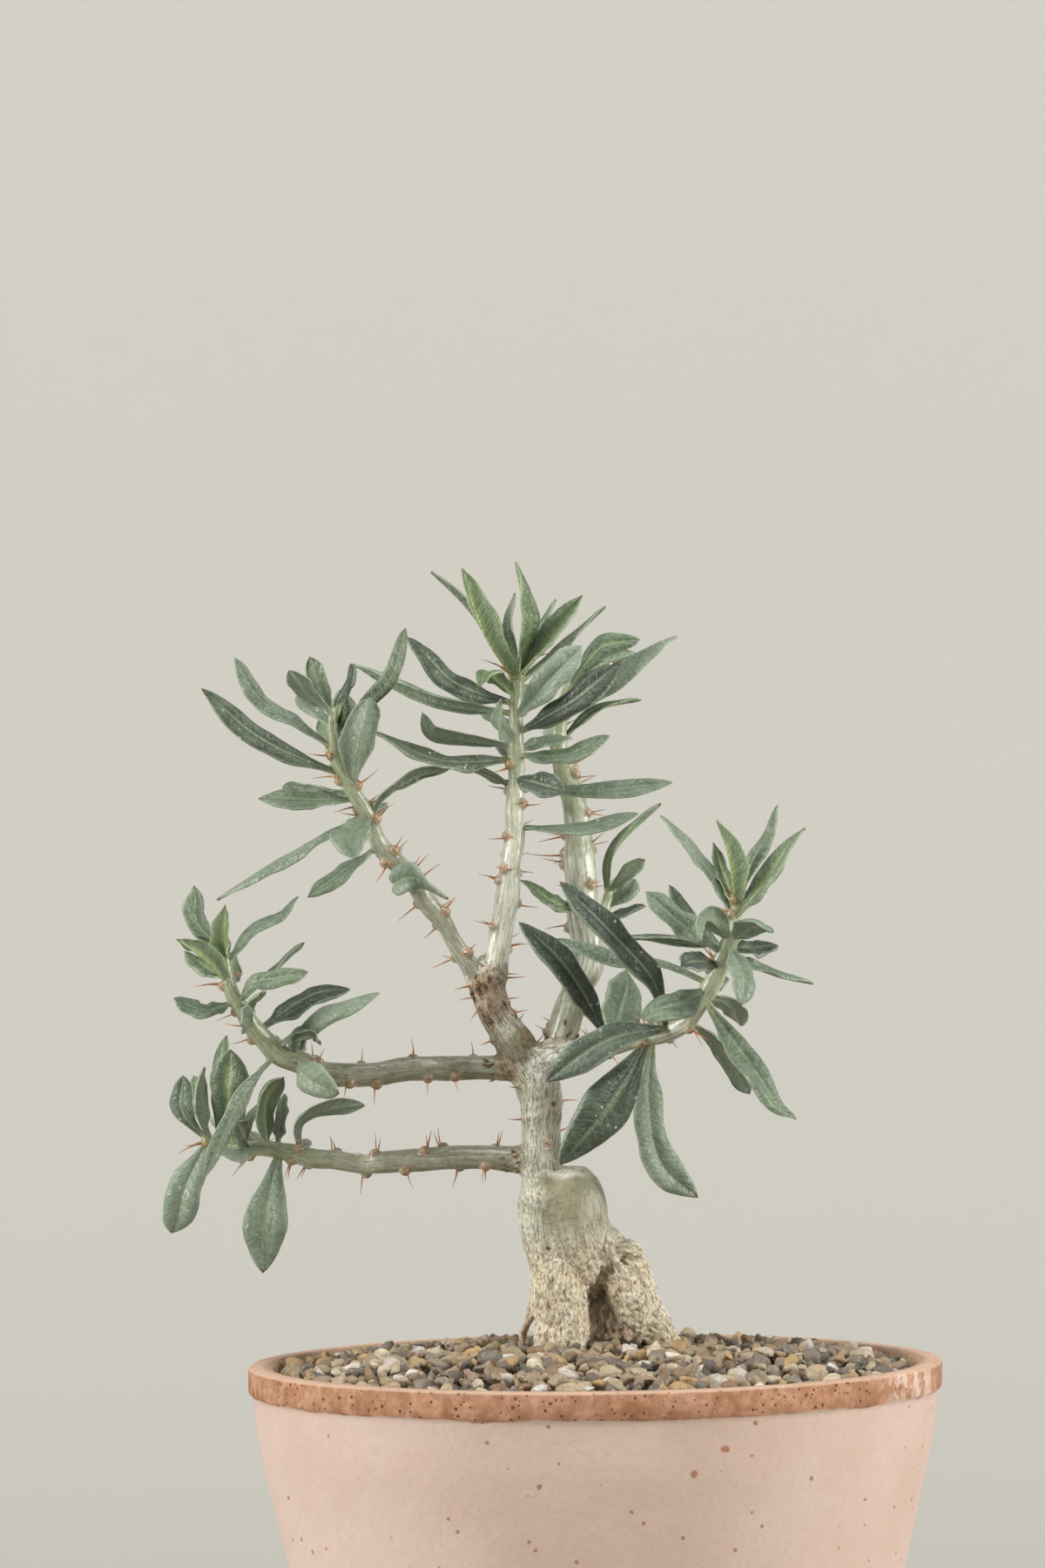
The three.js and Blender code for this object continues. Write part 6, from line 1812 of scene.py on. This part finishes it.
def build_leaf(tree, place):
    along, across, upper = parts_of(tree, stored(tree, "place"))
    young, old, pale = parts_of(tree, stored(tree, "tone"))
    luck, other_luck, length = parts_of(tree, stored(tree, "shade"))
    away = calc(tree, "ABSOLUTE", across)
    clouds = cloudy(tree, place, 8, 0.16)
    patches = cloudy(tree, place, 3.2, 0.2)
    fine = cloudy(tree, place, 0.8, 0.2)

    def by(kind, other=0.0, full=1.0):
        """A value for leaves of a kind, and one for the others."""
        return between(tree, kind, 0.3, 0.9, other, full)

    def cloud_tones(first, second):
        return two_tone(tree, clouds, first, second)

    # The old tone darkens old leaves, and shaded ones as painted shade; the pale tone lightens pale leaves,
    # and some of them as painted light
    is_young, is_old_and_shaded, is_pale = by(young), by(old), by(pale)
    top = cloud_tones((70, 94, 62), (116, 135, 102))
    top = blend(tree, is_old_and_shaded, top, cloud_tones((24, 38, 24), (50, 66, 48)))
    top = blend(tree, is_pale, top, cloud_tones((112, 132, 104), (144, 160, 136)))
    top = blend(tree, is_young, top, cloud_tones((56, 84, 46), (94, 118, 72)))
    under = cloud_tones((106, 122, 94), (132, 146, 120))
    under = coat(tree, under, is_old_and_shaded, 0.85, paint(66, 74, 54))
    under = blend(tree, is_young, under, paint(122, 144, 100))
    # Painted light on the undersides of pale leaves
    under = coat(tree, under, is_pale, 0.8, paint(142, 158, 134))
    face = blend(tree, upper, under, top)
    # Each leaf is a little lighter, darker or warmer than the next
    face = coat(tree, face, between(tree, luck, 0.45, 1, 0.0, 0.4), by(old, 1, 0.3), paint(130, 144, 128))
    face = blend(tree, between(tree, luck, 0.55, 0, 0.0, 0.35), face, paint(76, 90, 68))
    face = blend(tree, between(tree, other_luck, 0.6, 1, 0.0, 0.3), face, paint(124, 132, 96))
    # A waxy bloom lies in patches, and the green shows through round it
    bloom = times(tree, patches, between(tree, away, 0.05, 0.45, 0.35, 1.0))
    bloom = times(tree, bloom, by(old, 1.0, 0.45))
    face = coat(tree, face, bloom, by(young, 0.3, 0.12), paint(146, 156, 146))
    face = coat(tree, face, fine, by(old, 0.16, 0.07), paint(160, 170, 152))
    # Side veins leave the rib at a slant, about two millimetres apart
    slant = calc(tree, "SUBTRACT", times(tree, along, length), times(tree, away, VEIN_SLANT))
    wave = calc(tree, "SINE", times(tree, slant, VEIN_CLOSENESS))
    vein = times(tree, between(tree, wave, 0.8, 1.0), between(tree, away, 0.95, 0.6))
    face = coat(tree, face, vein, 0.12, paint(150, 164, 130))
    # Pale rib, edge and stalk, and a dry point on some. The pale edge is partly the leaf's own
    # paler margin and partly a painted highlight where the rolled edge catches light.
    rib = between(tree, away, by(young, 0.17, 0.36), 0.02)
    rib = times(tree, rib, between(tree, along, 1.0, 0.7, 0.2, 1.0))
    rib_colour = two_tone(tree, is_young, (156, 172, 136), (176, 190, 128))
    face = coat(tree, face, rib, by(young, 0.52, 0.9), rib_colour)
    # Painted highlight on the rolled edge, over its own paler margin
    edge = between(tree, away, 0.78, 0.95)
    face = coat(tree, face, edge, 0.6, two_tone(tree, is_young, (162, 178, 150), (178, 194, 148)))
    face = coat(tree, face, between(tree, along, 0.14, 0.02), 0.7, paint(172, 166, 96))
    spent = times(tree, between(tree, along, 0.97, 0.99), between(tree, other_luck, 0.3, 0.5))
    face = coat(tree, face, spent, 0.8, paint(110, 82, 54))
    # Lime specks and brown wear, most of all on old leaves
    crust = times(tree, speckled(tree, place, 1.5, 0.5), cloudy(tree, place, 4, 0.1))
    limed = calc(tree, "MAXIMUM", by(old, 0.1, 0.9), by(pale, 0, 0.6))
    face = coat(tree, face, crust, limed, paint(214, 216, 206))
    face = coat(tree, face, speckled(tree, place, 6, 0.16), by(old, 0.0, 0.5), paint(124, 104, 66))
    height = total(tree, (fine, 0.05), (vein, -0.1), (patches, 0.25))
    return {"Base Color": face, "Roughness": between(tree, patches, 0, 1, 0.36, 0.52),
            "Specular IOR Level": 0.6, "Sheen Weight": 0.06, "Sheen Roughness": 0.4, "Height": height}


# The plant and its pot

piece("clay_pot", pot_mesh(), surface("Clay", build_clay), "clay", "pot")
piece("gravel_bed", bed_mesh(), surface("Gravel bed", build_bed), "gravel", "gravel")
piece("gravel_stones", stones_mesh(), surface("Stones", build_stones), "gravel", "gravel")

trunk, trunk_thorns = trunk_parts()
spine = surface("Spines", build_spine)
piece("barky_trunk", trunk, surface("Trunk bark", build_trunk_bark), "bark", "trunk")
piece("trunk_spines", trunk_thorns, spine, "bark", "trunk")
piece("dry_scales", scales_mesh(), surface("Dry scales", build_scales), "bark", "trunk")

stem_bark = surface("Stem bark", build_stem_bark)
blade = surface("Leaves", build_leaf)
for name, branch in BRANCHES.items():
    node_name = name + "_branch"
    stem, leaves, thorns = stem_parts(branch, PALENESS[name])
    piece(name + "_stem", stem, stem_bark, "bark", node_name)
    piece(name + "_leaves", leaves, blade, "foliage", node_name)
    piece(name + "_spines", thorns, spine, "bark", node_name)

soil_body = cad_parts["soil"]
soil_body.data.materials.clear()
soil_body.data.materials.append(surface("Soil", build_soil))


# Stage, light and camera, in metres

# The floor's half-width, the wall's distance and height, and the bend between floor and wall
HALF_WIDTH = 2.5
WALL_BEHIND = 0.85
WALL_TOP = 2.6
BEND = 0.35
# Lights as (name, where it stands, size, power, colour)
LIGHTS = (
    ("left window", (-1.5, -0.6, 0.75), (0.6, 0.9), 25, (1, 0.99, 0.98)),
    ("right window", (1.5, -0.5, 0.65), (0.6, 0.9), 24, (1, 0.99, 0.98)),
    ("front fill", (0.1, -2.2, 1.1), (1.5, 1.2), 5, (1, 0.985, 0.97)),
    ("top", (-0.1, -0.35, 1.5), (0.8, 0.6), 9, (1, 0.99, 0.98)),
)
LIT_POINT = (0, 0, 0.19)
# The room's brightness as it is seen, and as it lights
ROOM_SEEN = 0.62
ROOM_LIGHT = 0.12
CAMERA_SPOT = (-0.0142, -1.465, 0.2553)
# The camera's slight roll
TILT = 0.012
# Focal length and film width, in millimetres
LENS = 155.3
FILM = 36


def sweep_mesh():
    """A pale floor that curves up into a wall behind the pot."""
    profile = [(-HALF_WIDTH, 0), (WALL_BEHIND - BEND, 0)]
    profile += [(WALL_BEHIND - BEND + BEND * math.sin(a), BEND - BEND * math.cos(a))
                for a in np.linspace(0.1, math.pi / 2, 16)]
    profile.append((WALL_BEHIND, WALL_TOP))
    points = [(x, y, z) for y, z in profile for x in (-HALF_WIDTH, HALF_WIDTH)]
    faces = [(2 * i, 2 * i + 1, 2 * i + 3, 2 * i + 2) for i in range(len(profile) - 1)]
    mesh = mesh_of("sweep", points, faces)
    smooth_shaded(mesh)
    return mesh


def build_paper(tree, place):
    """Pale paper that is clear from behind, so the plant shows from every side."""
    behind = node(tree, "ShaderNodeNewGeometry").outputs["Backfacing"]
    return {"Base Color": paint(190, 188, 181), "Roughness": 0.95, "Specular IOR Level": 0.1,
            "Alpha": calc(tree, "SUBTRACT", 1.0, behind)}


paper = placed("sweep", sweep_mesh())
paper.data.materials.append(surface("Paper", build_paper))

for name, spot, size, power, colour in LIGHTS:
    light = bpy.data.lights.new(name, "AREA")
    light.shape = "RECTANGLE"
    light.size, light.size_y = size
    light.energy = power
    light.color = colour
    lamp = placed(name, light)
    lamp.location = spot
    lamp.rotation_euler = (Vector(LIT_POINT) - Vector(spot)).to_track_quat("-Z", "Y").to_euler()

room = bpy.data.worlds.new("Room")
room.use_nodes = True
background = room.node_tree.nodes["Background"]
background.inputs["Color"].default_value = (0.95, 0.95, 0.95, 1)
seen = node(room.node_tree, "ShaderNodeLightPath").outputs["Is Camera Ray"]
strength = calc(room.node_tree, "MAXIMUM", times(room.node_tree, seen, ROOM_SEEN), ROOM_LIGHT)
wire(room.node_tree, strength, background.inputs["Strength"])
bpy.context.scene.world = room

lens = bpy.data.cameras.new("Camera")
lens.lens = LENS
lens.sensor_width = FILM
camera = placed("Camera", lens)
stance = np.eye(4)
stance[:3, 0] = Vector((1, 0, -TILT)).normalized()
stance[:3, 1] = Vector((TILT, 0, 1)).normalized()
stance[:3, 2] = (0, -1, 0)
stance[:3, 3] = CAMERA_SPOT
camera.matrix_world = Matrix(stance.tolist())
bpy.context.scene.camera = camera
bpy.context.scene.view_settings.view_transform = "Standard"
